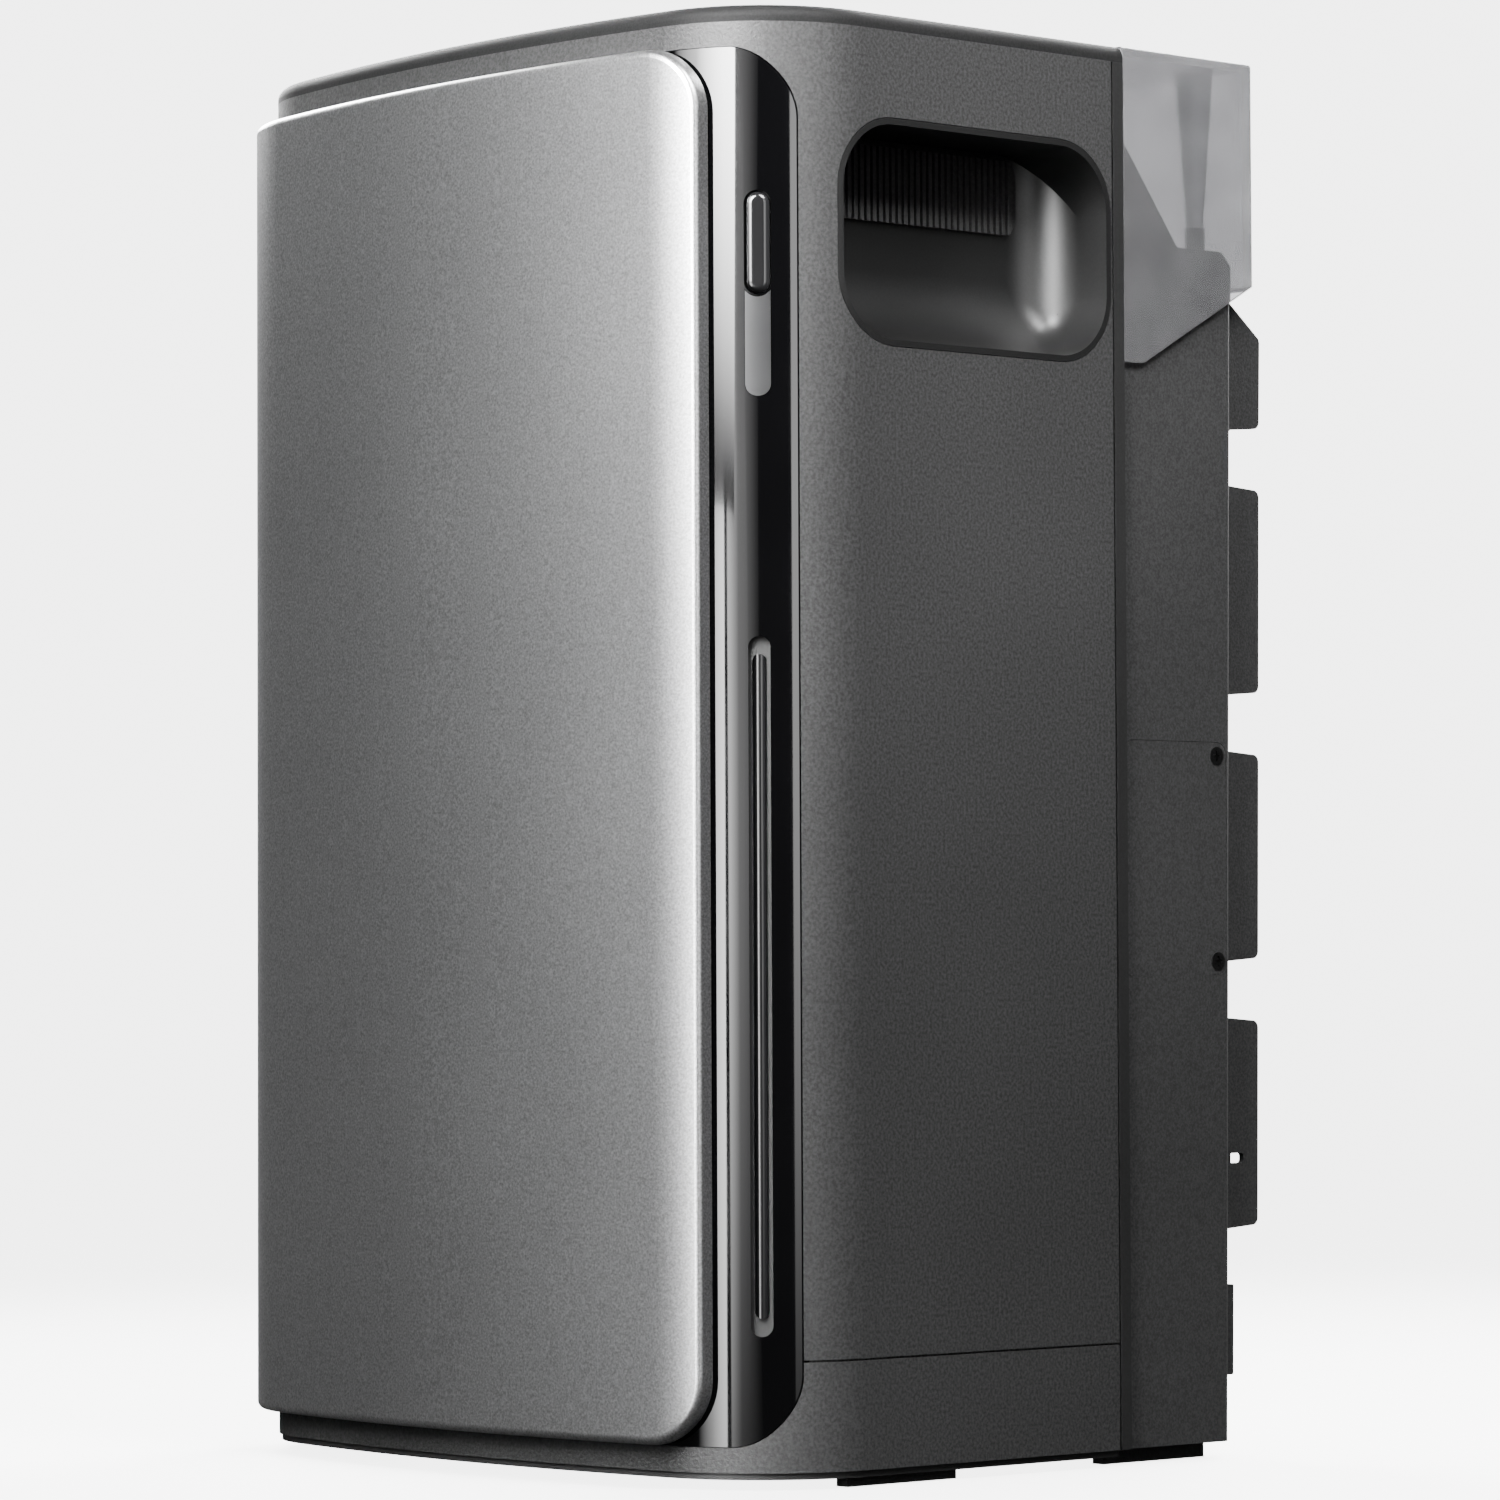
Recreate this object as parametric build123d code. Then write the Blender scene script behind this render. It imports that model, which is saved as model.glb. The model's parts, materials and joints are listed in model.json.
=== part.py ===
from build123d import *

import math
import os

# Floor-standing home battery storage unit with a built-in inverter.
# Millimetres. X runs to the right seen from the front, Y to the back, Z up.
# The origin is on the floor, in the middle of the overall footprint.

# --- overall sizes ------------------------------------------------------------
WIDTH = 270.0
HEIGHT = 458.0
CASING_DEPTH = 163.5        # front of the bowed casing to the seam
HOUSING_DEPTH = 52.1        # cast rear housing at its top, measured from the frame
HOUSING_DRAFT = 5.0         # the housing gets this much shallower towards the floor
FIN_HEIGHT = 20.3
FRAME_THICKNESS = 4.5
SEAM_GAP = 0.8              # shadow gap between casing and frame

# --- plan outline of the casing -----------------------------------------------
BOW_RADIUS = 610.0
CORNER_RADIUS = 47.0
CASING_WALL = 4.2

# --- stack of levels ----------------------------------------------------------
FOOT_HEIGHT = 3.2
FOOT_WIDTH = 5.0
FOOT_LENGTH = 46.0
FRONT_FOOT_INSET = 5.0
REAR_FOOT_INSET = 10.0
BASE_PLATE_THICKNESS = 2.1
BASE_PLATE_INSET = 1.0
SKIRT_HEIGHT = 34.4
SKIRT_FLOOR = 3.0
PARTING_GROOVE = 0.7
GROOVE_DEPTH = 1.0
FEET_AHEAD = 4.0            # front feet start this far in front of the corner centres
FEET_BEHIND = 1.5           # rear feet start this far behind the front of the frame
LID_HEIGHT = 5.5
LID_EDGE_RADIUS = 4.0
LID_SKIN = 2.6
CUT = 1.0                   # how far a cutter runs past the face that it cuts

# --- glossy front fascia and the metal panel in front of it -------------------
FASCIA_THICKNESS = 2.0
FASCIA_SEAT = 2.2
FASCIA_END_ANGLE = 62.0     # how far the fascia wraps the corners, from straight ahead
FASCIA_MARGIN = 8.0         # to the lid above and the base plate below
FASCIA_GAP = 0.25
FASCIA_CORNER = (14.0, 22.0)        # width and height of a round corner, seen from the front
SEAT_MARGIN = 2.0
PANEL_GAP = 1.5
CARRIER_THICKNESS = 1.1
PANEL_THICKNESS = 4.6
PANEL_EDGE_RADIUS = 2.5
PANEL_RIGHT_ANGLE = 26.5
PANEL_LEFT_ANGLE = 55.0
PANEL_RISE = 0.3            # the panel sits this much higher than the fascia
PANEL_LEFT_CORNER = (6.0, 10.0)
PANEL_RIGHT_CORNER = (19.0, 20.0)
CARRIER_INSET = 1.6
CARRIER_RIGHT_CORNER = (18.0, 19.0)
CLIP_WIDTH = 18.0
CLIP_HEIGHT = 26.0
CLIP_MARGIN = 60.0          # end of the panel to the middle of the outer clips

# --- controls on the right front corner ---------------------------------------
CONTROL_ANGLE = 47.0
BUTTON_WIDTH = 7.9
BUTTON_LENGTH = 32.0
BUTTON_DROP = 68.8          # lid joint to the middle of the button
BUTTON_TRAVEL = 1.0
BUTTON_GAP = 0.3
BUTTON_PROUD = 0.7
BUTTON_EDGE_RADIUS = 2.4
TAG_GAP = 0.15
TAG_LENGTH = 31.5
TAG_THICKNESS = 0.9
TAG_COLLAR = 0.4            # wall of the fascia left between button and tag
TAG_BED = 0.05
TAG_PROUD = 0.12
KEY_DEPTH = 3.2             # casing surface to the back of the button's stem
FLANGE_TOP = 2.75
FLANGE_BOTTOM = 4.0
FLANGE_REACH = 1.5
PLUNGER_RADIUS = 1.5
PLUNGER_LENGTH = 1.6
SPRING_TURNS = 4
SPRING_WIRE = 0.35          # radius of the wire
SPRING_RADIUS = 1.7
SPRING_OFFSET = 10.5
SPRING_PLAY = 0.3
SLOT_WIDTH = 6.9
SLOT_LENGTH = 215.0
SLOT_BOTTOM = 47.0
GUIDE_WIDTH = 4.2
GUIDE_LENGTH = 204.0
GUIDE_RECESS = 1.1
CARRIER_NOSE = 2.8          # casing surface to the black floor of the light slot
BOARD_DEPTH = 10.0          # casing surface to the front of the light board
BOARD_THICKNESS = 1.6
BOARD_WIDTH = 20.0
LED_HEIGHT = 0.8
LED_COUNT = 16
LED_WIDTH = 2.8
LED_LENGTH = 3.5
SWITCH_SIZE = 6.0
SWITCH_HEIGHT = 2.2
NUB_RADIUS = 1.6
NUB_HEIGHT = 0.9
BOARD_END = 2.0             # light slot's lower end to the board's lower end
BOARD_HEAD = 4.0            # button's upper end to the board's upper end
BOARD_SIDE = 1.0            # board to the outside of its carrier
GUIDE_GAP = 0.15
CARRIER_END = 1.0
NOSE_FLANK = 1.5            # the nose covers this much beside the slot
NOSE_DROP = 4.0             # lower end of the tag to the top of the nose
CHAMBER_WALL = 3.0
POCKET_INSET = 2.0
POCKET_END = 4.0
POCKET_HEAD = 8.0

# --- side handles -------------------------------------------------------------
HANDLE_LENGTH = 114.0
HANDLE_HEIGHT = 67.5
HANDLE_RADIUS = 20.5
HANDLE_DEPTH = 30.0
HANDLE_DROP = 63.2          # lid joint to the middle of the opening
HANDLE_TO_SEAM = 59.6       # middle of the opening to the seam
CUP_WALL = 2.0
CUP_GAP = 0.2
CUP_BLEND = 26.0
CUP_CREASE = 10.0
CUP_END_BLEND = 17.0
GRIP_LENGTH = 89.0
GRIP_HEIGHT = 24.0
GRIP_DROP = 2.0
GRIP_BASE = 1.0
GRIP_RIB = 1.2
GRIP_PITCH = 2.7
GRIP_CORNER = 6.0
GRIP_END = 2.0

# --- rear housing -------------------------------------------------------------
SIDE_RECESS = 2.0
HOUSING_WALL = 4.0
HOUSING_EDGE_RADIUS = 2.0
BOSS_HALF_WIDTH = 6.0
BOSS_HALF_HEIGHT = 5.0
BOSS_LENGTH = 12.0
BOSS_OFFSET = 2.5           # housing wall to the middle of a screw boss
SCREW_HOLE_DEPTH = 8.2
VENT_RADIUS = 6.0
VENT_FLANGE_RADIUS = 8.0
VENT_FLANGE = 2.0
VENT_FROM_FRAME = 24.0
SHELF_DROP = 57.9           # lid joint down to the shelf of the connector bay
SHELF_FRONT = 26.0          # from the frame back to where the shelf starts
SHELF_BACK = 46.6
CHAMFER_DROP = 5.8
GUSSET_TOP_DROP = 23.5
GUSSET_WIDTH = 15.0
FIN_THICKNESS = 2.0
FIN_PITCH = 12.5
FIN_SIDE_MARGIN = 9.0
FIN_SEGMENT = 67.0
FIN_PERIOD = 87.8
FIN_BOTTOM = 75.0
FIN_TAPER = 1.5
FIN_TIP_RADIUS = 2.5
FIN_TIP_FLAT = 4.0          # what the cut back fin keeps of its height
FIN_TOP_MARGIN = 6.0
FIN_SHORTEST = 30.0
STRAP_SLOT_WIDTH = 6.6
STRAP_SLOT_HEIGHT = 3.3
STRAP_SLOT_RISE = 22.0
STRAP_SLOT_RADIUS = 1.2

# --- frame, its gasket and its screws -----------------------------------------
GASKET_DEPTH = 1.5
GASKET_WIDTH = 3.0
GASKET_INSET = 0.5
FRAME_OPENING = 120.0       # half width of the opening behind the battery
OPENING_SCREW_MARGIN = 5.0
OPENING_RISE = 8.0
OPENING_DROP = 12.0
SPIGOT_DEPTH = 2.6
SPIGOT_THICKNESS = 3.0
SPIGOT_GAP = 0.2
SPIGOT_INSET = 40.0
FRAME_SCREW_INSET = 4.5     # inside of the housing wall to the screw
FRAME_SCREW_RADIUS = 2.0
FRAME_SCREW_GRIP = 8.0      # shank behind the frame
FRAME_SCREW_HEAD = 3.5
FRAME_SCREW_HEAD_HEIGHT = 2.4
FRAME_SCREWS_PER_SIDE = 4
FIRST_SCREW_RISE = 22.0
LAST_SCREW_DROP = 12.0

# --- covers on the rear housing -----------------------------------------------
SERVICE_BOTTOM = 157.3
SERVICE_HEIGHT = 75.9
SERVICE_COVER = 1.4
SERVICE_GASKET = 0.6
SERVICE_RIM = 2.0
SERVICE_SCREW_INSET = 4.4
SERVICE_CORNER = 4.2
SERVICE_GAP = 0.15
SERVICE_LAND = 9.0          # width of the seat round the service opening
SERVICE_FROM_FRAME = 0.2
SERVICE_HEAD_PROUD = 0.3
SERVICE_HEAD_HEIGHT = 1.2
SERVICE_SCREW_GRIP = 4.5
LOWER_COVER_BOTTOM = 26.5
LOWER_COVER_HEIGHT = 29.5
LOWER_COVER_PROUD = 6.6
LOWER_COVER_INSET = 3.5
LOWER_COVER_RADIUS = 2.2
LOWER_SCREW_INSET = 16.0
LOWER_SCREWS = 4
LOWER_HEAD_SUNK = 0.4
LOWER_HEAD_HEIGHT = 2.4
LOWER_SCREW_GRIP = 3.0
WELL_GAP = 0.5
WELL_DEPTH = 2.8
PORT_HALF_WIDTH = 26.0
PORT_HALF_HEIGHT = 8.0
SCREW_HEAD_RADIUS = 3.0
SCREW_SHANK_RADIUS = 1.5
CROSS_LENGTH = 3.4
CROSS_WIDTH = 0.8
CROSS_DEPTH = 0.8

# --- translucent connector cover ----------------------------------------------
COVER_SIDE_WALL = 1.8
COVER_WALL = 3.0
COVER_DEPTH = 59.7          # from the frame back
COVER_GAP = 0.3
COVER_FRONT_DROP = 97.0     # lid joint down to the front lower corner
COVER_REAR_DROP = 68.5
COVER_FLAT = 8.5
COVER_EDGE_RADIUS = 1.5
POST_ROOT = 0.5             # how far a post runs into the side wall
POST_INSET = 8.6
POST_FROM_FRAME = 41.0
POST_TOP_RADIUS = 6.4
POST_FOOT_RADIUS = 2.75
PEG_HEIGHT = 8.0
PEG_RADIUS = 3.3
PIN_RADIUS = 2.0
GROMMET_RADIUS = 4.4
GROMMET_WALL = 1.9
GROMMET_HEIGHT = 6.0
PEG_GAP = 0.3
PIN_REACH = 4.0             # pin below the shelf

# --- sockets in the connector bay ---------------------------------------------
TERMINAL_PLATE = 3.0
SOCKET_SPACING = 124.0
SOCKET_RADIUS = 19.5
SOCKET_DEPTH = 17.0
SOCKET_WALL = 2.0
BEZEL_LAND = 5.0            # socket bore to the rim of its bezel
BEZEL_HEIGHT = 3.0
BAY_GAP = 0.5
PIN_HOLE_OFFSET = 9.5
PIN_HOLE_RADIUS = 2.4
EARTH_CLIP_HALF = 2.5
EARTH_CLIP_DEPTH = 1.4
EARTH_CLIP_INSET = 4.0
INLET_RADIUS = 11.5
INLET_DEPTH = 16.0
INLET_BEZEL_RADIUS = 17.0
INLET_COLLAR = 2.0
INLET_PIN_CIRCLE = 6.0
INLET_PIN_RADIUS = 1.2
INLET_PIN_INSET = 4.0
INLET_PINS = 3
TERMINAL_SCREW_X = 32.0
TERMINAL_SCREW_INSET_X = 8.0
TERMINAL_SCREW_INSET_Z = 4.0
TERMINAL_HEAD = 1.8
WINDOW_HALF = 95.0
WINDOW_GAP = 1.0            # between the sockets and the frame

# --- battery ------------------------------------------------------------------
CELL_THICKNESS = 27.0
CELL_HEIGHT = 130.0
CELL_GAP = 0.6
CELLS_PER_TIER = 6
TIERS = 2
TIER_GAP = 14.0
END_PLATE = 3.0
BAND_THICKNESS = 1.0
BAND_WIDTH = 16.0
TRAY_THICKNESS = 3.0
BATTERY_FROM_APEX = 12.3     # front of the casing to the front of the cells
BATTERY_TO_SEAM = 3.2
POLE_INSET = 24.0            # end of a cell to the middle of its pole
POLE_RADIUS = 7.0
POLE_HEIGHT = 3.0
BUSBAR_HALF = 8.0
BUSBAR_THICKNESS = 2.0
BAND_SHARES = (0.25, 0.75)   # heights of the bands on a tier
DIVIDER_THICKNESS = 6.0
PROP_RADIUS = 3.5
PROP_GAP = 1.5
PROP_INSET = 6.0
BATTERY_BOARD_RISE = 4.0
BATTERY_BOARD_HALF = 62.0
BATTERY_BOARD_FRONT = 20.0
BATTERY_BOARD_BACK = 120.0
FUSE_X = 30.0
FUSE_FROM_FRONT = 60.0
FUSE_LENGTH = 36.0

# --- power electronics --------------------------------------------------------
PCB_THICKNESS = 2.0
PCB_FROM_FRAME = 16.0
PAD_THICKNESS = 1.0
CAPACITOR_RADIUS = 12.0
CAPACITOR_LENGTH = 32.0
CAPACITOR_COUNT = 6
MODULE_COUNT = 8
CHOKE_RADIUS = 12.0
CHOKE_COUNT = 4
CHOKE_LENGTH = 18.0
CHOKE_BORE = 4.5
CHOKE_GAP = 8.0
CHOKE_RISE = 30.0
CHOKE_INSET = 1.0
BOARD_INSET = 2.0
BOARD_RISE = 12.0
BOARD_DROP = 16.0
MODULE_RISE = 40.0
MODULE_INSET = 16.0
MODULE_HALF_WIDTH = 8.0
MODULE_LOW = 10.0
MODULE_HIGH = 34.0
PAD_INSET = 6.0
PAD_HEIGHT = 60.0
CAPACITOR_GAP = 3.0
CAPACITOR_RISE = 24.0
CORE_INSET = 1.0
CORE_WIDTH = 24.0
CORE_DEPTH = 40.0
CORE_LEG = 10.0
CORE_YOKE = 8.0
CORE_RISE = 90.0
CORE_HEIGHT = 50.0
WINDING_INSET = 3.0
STANDOFF_RADIUS = 3.0
STANDOFF_INSET_X = 6.0
STANDOFF_INSET_Z = 12.0
RAIL_PLACES = (-50.0, -38.0)
RAIL_HALF = 4.0
RAIL_THICKNESS = 2.0
RAIL_FROM_FRONT = 100.0
RADIO_X = 26.0
RADIO_LENGTH = 30.0
RADIO_THICKNESS = 1.6
RADIO_DROP = 4.4             # lid joint down to the radio board
RADIO_BOSS_RADIUS = 3.0
RADIO_BOSS_INSET = 4.0
FUSE_RADIUS = 7.0

# --- derived levels and planes ------------------------------------------------
HALF_W = WIDTH / 2
PANEL_PROUD = PANEL_GAP + CARRIER_THICKNESS + PANEL_THICKNESS
FRAME_FRONT_TO_BACK = SEAM_GAP + FRAME_THICKNESS
DEPTH = PANEL_PROUD + CASING_DEPTH + FRAME_FRONT_TO_BACK + HOUSING_DEPTH + FIN_HEIGHT
APEX_Y = -DEPTH / 2 + PANEL_PROUD
SEAM_Y = APEX_Y + CASING_DEPTH
FRAME_FRONT = SEAM_Y + SEAM_GAP
FRAME_BACK = FRAME_FRONT + FRAME_THICKNESS
BASE_Z = FOOT_HEIGHT
SKIRT_Z = BASE_Z + BASE_PLATE_THICKNESS
PARTING_Z = SKIRT_Z + SKIRT_HEIGHT
FLOOR_Z = SKIRT_Z + SKIRT_FLOOR
LID_Z = HEIGHT - LID_HEIGHT
SPREAD = math.degrees(math.asin((HALF_W - CORNER_RADIUS) / (BOW_RADIUS - CORNER_RADIUS)))
CORNER_X = HALF_W - CORNER_RADIUS
CORNER_Y = APEX_Y + BOW_RADIUS - (BOW_RADIUS - CORNER_RADIUS) * math.cos(math.radians(SPREAD))
HOUSING_HALF = HALF_W - SIDE_RECESS
SHELF_Z = LID_Z - SHELF_DROP
SHELF_FRONT_Y = FRAME_BACK + SHELF_FRONT
SHELF_BACK_Y = FRAME_BACK + SHELF_BACK
CHAMFER_Z = SHELF_Z - CHAMFER_DROP
HANDLE_Y = SEAM_Y - HANDLE_TO_SEAM
HANDLE_Z = LID_Z - HANDLE_DROP
BUTTON_Z = LID_Z - BUTTON_DROP
BAY_HALF = HOUSING_HALF - GUSSET_WIDTH
SOCKET_Z = (SHELF_Z + LID_Z) / 2
BATTERY_BACK = SEAM_Y - BATTERY_TO_SEAM
BATTERY_FRONT = APEX_Y + BATTERY_FROM_APEX
CELL_WIDTH = BATTERY_BACK - BATTERY_FRONT
CELL_PITCH = CELL_THICKNESS + CELL_GAP
STACK_HALF = CELLS_PER_TIER * CELL_PITCH / 2
CELL_Z = FLOOR_Z + TRAY_THICKNESS
BATTERY_TOP = CELL_Z + TIERS * (CELL_HEIGHT + TIER_GAP)
PCB_Y = FRAME_BACK + PCB_FROM_FRAME
RADIO_Y = APEX_Y + CASING_DEPTH / 2
PANEL_BOTTOM = SKIRT_Z + FASCIA_MARGIN
PANEL_TOP = LID_Z - FASCIA_MARGIN
GASKET_OUTER = HOUSING_HALF - GASKET_INSET
FRAME_SCREW_X = HOUSING_HALF - HOUSING_WALL - FRAME_SCREW_INSET
OPENING_HALF = min(FRAME_OPENING, FRAME_SCREW_X - OPENING_SCREW_MARGIN)
POST_X = HALF_W - POST_INSET
POST_Y = FRAME_BACK + POST_FROM_FRAME
VENT_PLACE = (0, FRAME_BACK + VENT_FROM_FRAME)
SERVICE_Z = SERVICE_BOTTOM + SERVICE_HEIGHT / 2
LOWER_COVER_Z = LOWER_COVER_BOTTOM + LOWER_COVER_HEIGHT / 2
BUTTON_TOP = BUTTON_Z + BUTTON_LENGTH / 2
TAG_LOW = BUTTON_Z - BUTTON_LENGTH / 2 - TAG_LENGTH
GUIDE_LOW = SLOT_BOTTOM + (SLOT_LENGTH - GUIDE_LENGTH) / 2
POLE_OFFSET = CELL_WIDTH / 2 - POLE_INSET
STACK_TOP = BATTERY_TOP - TIER_GAP
BATTERY_BOARD_Z = BATTERY_TOP + BATTERY_BOARD_RISE

PARTS = {}


def keep(name, *solids):
    """Store the solids of one named piece, or one group of equal pieces."""
    PARTS[name] = solids[0] if len(solids) == 1 else Compound(children=list(solids))


def block(x0, x1, y0, y1, z0, z1):
    """Box between two corners."""
    middle = Pos((x0 + x1) / 2, (y0 + y1) / 2, (z0 + z1) / 2)
    return middle * Box(x1 - x0, y1 - y0, z1 - z0)


def rod(x, y, z, radius, length, direction):
    """Cylinder that starts at a point and runs along a direction."""
    return extrude(Plane(origin=(x, y, z), z_dir=direction) * Circle(radius), length)


def across(points, x0, x1):
    """Polygon of (y, z) points pushed from x0 to x1."""
    wire = Wire.make_polygon([(x0, y, z) for y, z in points], close=True)
    return extrude(Face(wire), x1 - x0, dir=(1, 0, 0))


def rounded_x(y, z, length, height, radius, x0, x1):
    """Rounded rectangle centred at (y, z) and pushed from x0 to x1."""
    plane = Plane(origin=(x0, y, z), x_dir=(0, 1, 0), z_dir=(1, 0, 0))
    return extrude(plane * RectangleRounded(length, height, radius), x1 - x0)


def cross_recess(x, y, z, direction):
    """Phillips recess that sinks from a point along a direction."""
    plane = Plane(origin=(x, y, z), z_dir=direction)
    slot = Rectangle(CROSS_LENGTH, CROSS_WIDTH) + Rectangle(CROSS_WIDTH, CROSS_LENGTH)
    return extrude(plane * slot, CROSS_DEPTH)


def mirrored(solid):
    """Copy for the other side of the object."""
    return mirror(solid, about=Plane.YZ)


# --- the bowed plan outline ---------------------------------------------------

def corner_point(angle, grow=0.0):
    """Point on the right front corner, the angle taken from straight ahead."""
    turn = math.radians(angle)
    reach = CORNER_RADIUS + grow
    return (CORNER_X + reach * math.sin(turn), CORNER_Y - reach * math.cos(turn))


def plan_face(grow, back_y):
    """Bowed front, round corners and straight sides, offset outwards by grow."""
    x_bow, y_bow = corner_point(SPREAD, grow)
    x_mid, y_mid = corner_point((SPREAD + 90) / 2, grow)
    half = HALF_W + grow
    edges = [
        ThreePointArc((-x_bow, y_bow), (0, APEX_Y - grow), (x_bow, y_bow)),
        ThreePointArc((x_bow, y_bow), (x_mid, y_mid), (half, CORNER_Y)),
        Line((half, CORNER_Y), (half, back_y)),
        Line((half, back_y), (-half, back_y)),
        Line((-half, back_y), (-half, CORNER_Y)),
        ThreePointArc((-half, CORNER_Y), (-x_mid, y_mid), (-x_bow, y_bow)),
    ]
    return Face(Wire(edges))


def plan_solid(grow, back_y, z0, z1):
    """The plan outline pushed up from z0 to z1."""
    return Pos(0, 0, z0) * extrude(plan_face(grow, back_y), z1 - z0, dir=(0, 0, 1))


def skin(inner, outer, z0, z1):
    """Curved layer between two offsets of the plan outline."""
    return plan_solid(outer, 0, z0, z1) - plan_solid(inner, CUT, z0 - CUT, z1 + CUT)


def outer_rim(layer, grow):
    """Edges of a curved layer that lie on its outer surface, without the line between bow and corner."""
    near = 0.05
    rim = []
    for edge in layer.edges():
        on_surface = True
        for share in (0.1, 0.5, 0.9):
            point = edge @ share
            to_corner = math.hypot(abs(point.X) - CORNER_X, point.Y - CORNER_Y) - CORNER_RADIUS - grow
            to_bow = math.hypot(point.X, point.Y - APEX_Y - BOW_RADIUS) - BOW_RADIUS - grow
            if min(abs(to_corner), abs(to_bow)) > near:
                on_surface = False
        off_tangent_line = abs(abs((edge @ 0.5).X) - corner_point(SPREAD, grow)[0]) > 10 * near
        short = edge.length < (PANEL_TOP - PANEL_BOTTOM) / 2
        if on_surface and (off_tangent_line or short):
            rim.append(edge)
    return rim


def soft_window(x0, x1, z0, z1, left, right):
    """Front-view window; left and right give (width, height) of the round corners."""
    ease = 1 - 4 / 3 * (math.sqrt(2) - 1)

    def corner(x, z, dx, dz):
        return Bezier((x + dx, 0, z), (x + dx * ease, 0, z), (x, 0, z + dz * ease), (x, 0, z + dz))

    (lw, lh), (rw, rh) = left, right
    edges = [
        Line((x0 + lw, 0, z0), (x1 - rw, 0, z0)),
        corner(x1, z0, -rw, rh),
        Line((x1, 0, z0 + rh), (x1, 0, z1 - rh)),
        corner(x1, z1, -rw, -rh),
        Line((x1 - rw, 0, z1), (x0 + lw, 0, z1)),
        corner(x0, z1, lw, -lh),
        Line((x0, 0, z1 - lh), (x0, 0, z0 + lh)),
        corner(x0, z0, lw, lh),
    ]
    face = Face(Wire(edges))
    return Pos(0, -DEPTH, 0) * extrude(face, DEPTH, dir=(0, 1, 0))


def control_place(u, v, w):
    """Place on the control line: u along the surface, v up, w out of the surface."""
    turn = math.radians(CONTROL_ANGLE)
    out = (math.sin(turn), -math.cos(turn), 0)
    along = (math.cos(turn), math.sin(turn), 0)
    x, y = corner_point(CONTROL_ANGLE)
    plane = Plane(origin=(x, y, 0), x_dir=along, z_dir=out)
    return plane.location * Pos(u, v, w)


def pill(width, length, v, w0, w1):
    """Upright round-ended bar on the control line, from depth w0 to w1."""
    shape = Rot(0, 0, 90) * SlotOverall(length, width)
    return control_place(0, v, w0) * extrude(shape, w1 - w0)


def pill_rim(bar, w):
    """Edges of the end face of an upright bar at height w over the surface."""
    face_centre = control_place(0, 0, w).position
    normal = control_place(0, 0, w + 1).position - face_centre
    rim = []
    for edge in bar.edges():
        ends = [(edge @ share - face_centre).dot(normal) for share in (0.0, 0.5, 1.0)]
        if max(abs(value) for value in ends) < 0.01:
            rim.append(edge)
    return rim


def control_block(width, v0, v1, w0, w1):
    """Box on the control line."""
    return control_place(0, (v0 + v1) / 2, (w0 + w1) / 2) * Box(width, v1 - v0, w1 - w0)


# --- casing, lid and base -----------------------------------------------------

def fascia_window(grow):
    """Outline of the fascia seen from the front, grown by a clearance."""
    x_end = corner_point(FASCIA_END_ANGLE)[0] + grow
    return soft_window(-x_end, x_end, PANEL_BOTTOM - grow, PANEL_TOP + grow, FASCIA_CORNER, FASCIA_CORNER)


def handle_mouth(grow, x_in, x_out):
    """Rounded outline of the handle recess round the X axis, pushed from x_in to x_out."""
    length = HANDLE_LENGTH + 2 * grow
    height = HANDLE_HEIGHT + 2 * grow
    return rounded_x(0, 0, length, height, HANDLE_RADIUS + grow, x_in, x_out)


def at_handle(solid):
    """Move a solid from the casing side at x = 0 to the right handle."""
    return Pos(HALF_W, HANDLE_Y, HANDLE_Z) * solid


def handle_core(grow):
    """Handle recess grown by grow, the casing side at x = 0: flat top, blended floor and ends."""
    deep = -HANDLE_DEPTH - grow
    half_height = HANDLE_HEIGHT / 2 + grow
    half_length = HANDLE_LENGTH / 2 + grow
    mouth = handle_mouth(grow, deep, CUT)
    blend = CUP_BLEND + grow
    end = CUP_END_BLEND + grow

    def bend(radius, low, side):
        """Arc from a wall at low into the deep face."""
        slope = math.sin(math.radians(45)) * radius
        middle = (deep + radius - slope, low + side * (radius - slope))
        return (deep + radius, low), middle, (deep, low + side * radius)

    side_view = Face(Wire([
        Line((CUT, 0, -half_height), (deep + blend, 0, -half_height)),
        ThreePointArc(*[(x, 0, z) for x, z in bend(blend, -half_height, 1)]),
        Line((deep, 0, blend - half_height), (deep, 0, half_height)),
        Line((deep, 0, half_height), (CUT, 0, half_height)),
        Line((CUT, 0, half_height), (CUT, 0, -half_height)),
    ]))
    side_solid = Pos(0, -half_length, 0) * extrude(side_view, 2 * half_length, dir=(0, 1, 0))
    top_view = Face(Wire([
        Line((CUT, -half_length, 0), (deep + end, -half_length, 0)),
        ThreePointArc(*[(x, y, 0) for x, y in bend(end, -half_length, 1)]),
        Line((deep, end - half_length, 0), (deep, half_length - end, 0)),
        ThreePointArc(*[(x, y, 0) for x, y in reversed(bend(end, half_length, -1))]),
        Line((deep + end, half_length, 0), (CUT, half_length, 0)),
        Line((CUT, half_length, 0), (CUT, -half_length, 0)),
    ]))
    top_solid = Pos(0, 0, -half_height) * extrude(top_view, 2 * half_height, dir=(0, 0, 1))
    core = mouth & side_solid & top_solid
    creases = []
    for edge in core.edges().filter_by(GeomType.BSPLINE):
        middle = edge @ 0.5
        if middle.Z < 0 and deep + CUT < middle.X < -CUT:
            creases.append(edge)
    return fillet(creases, CUP_CREASE + grow)


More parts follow.
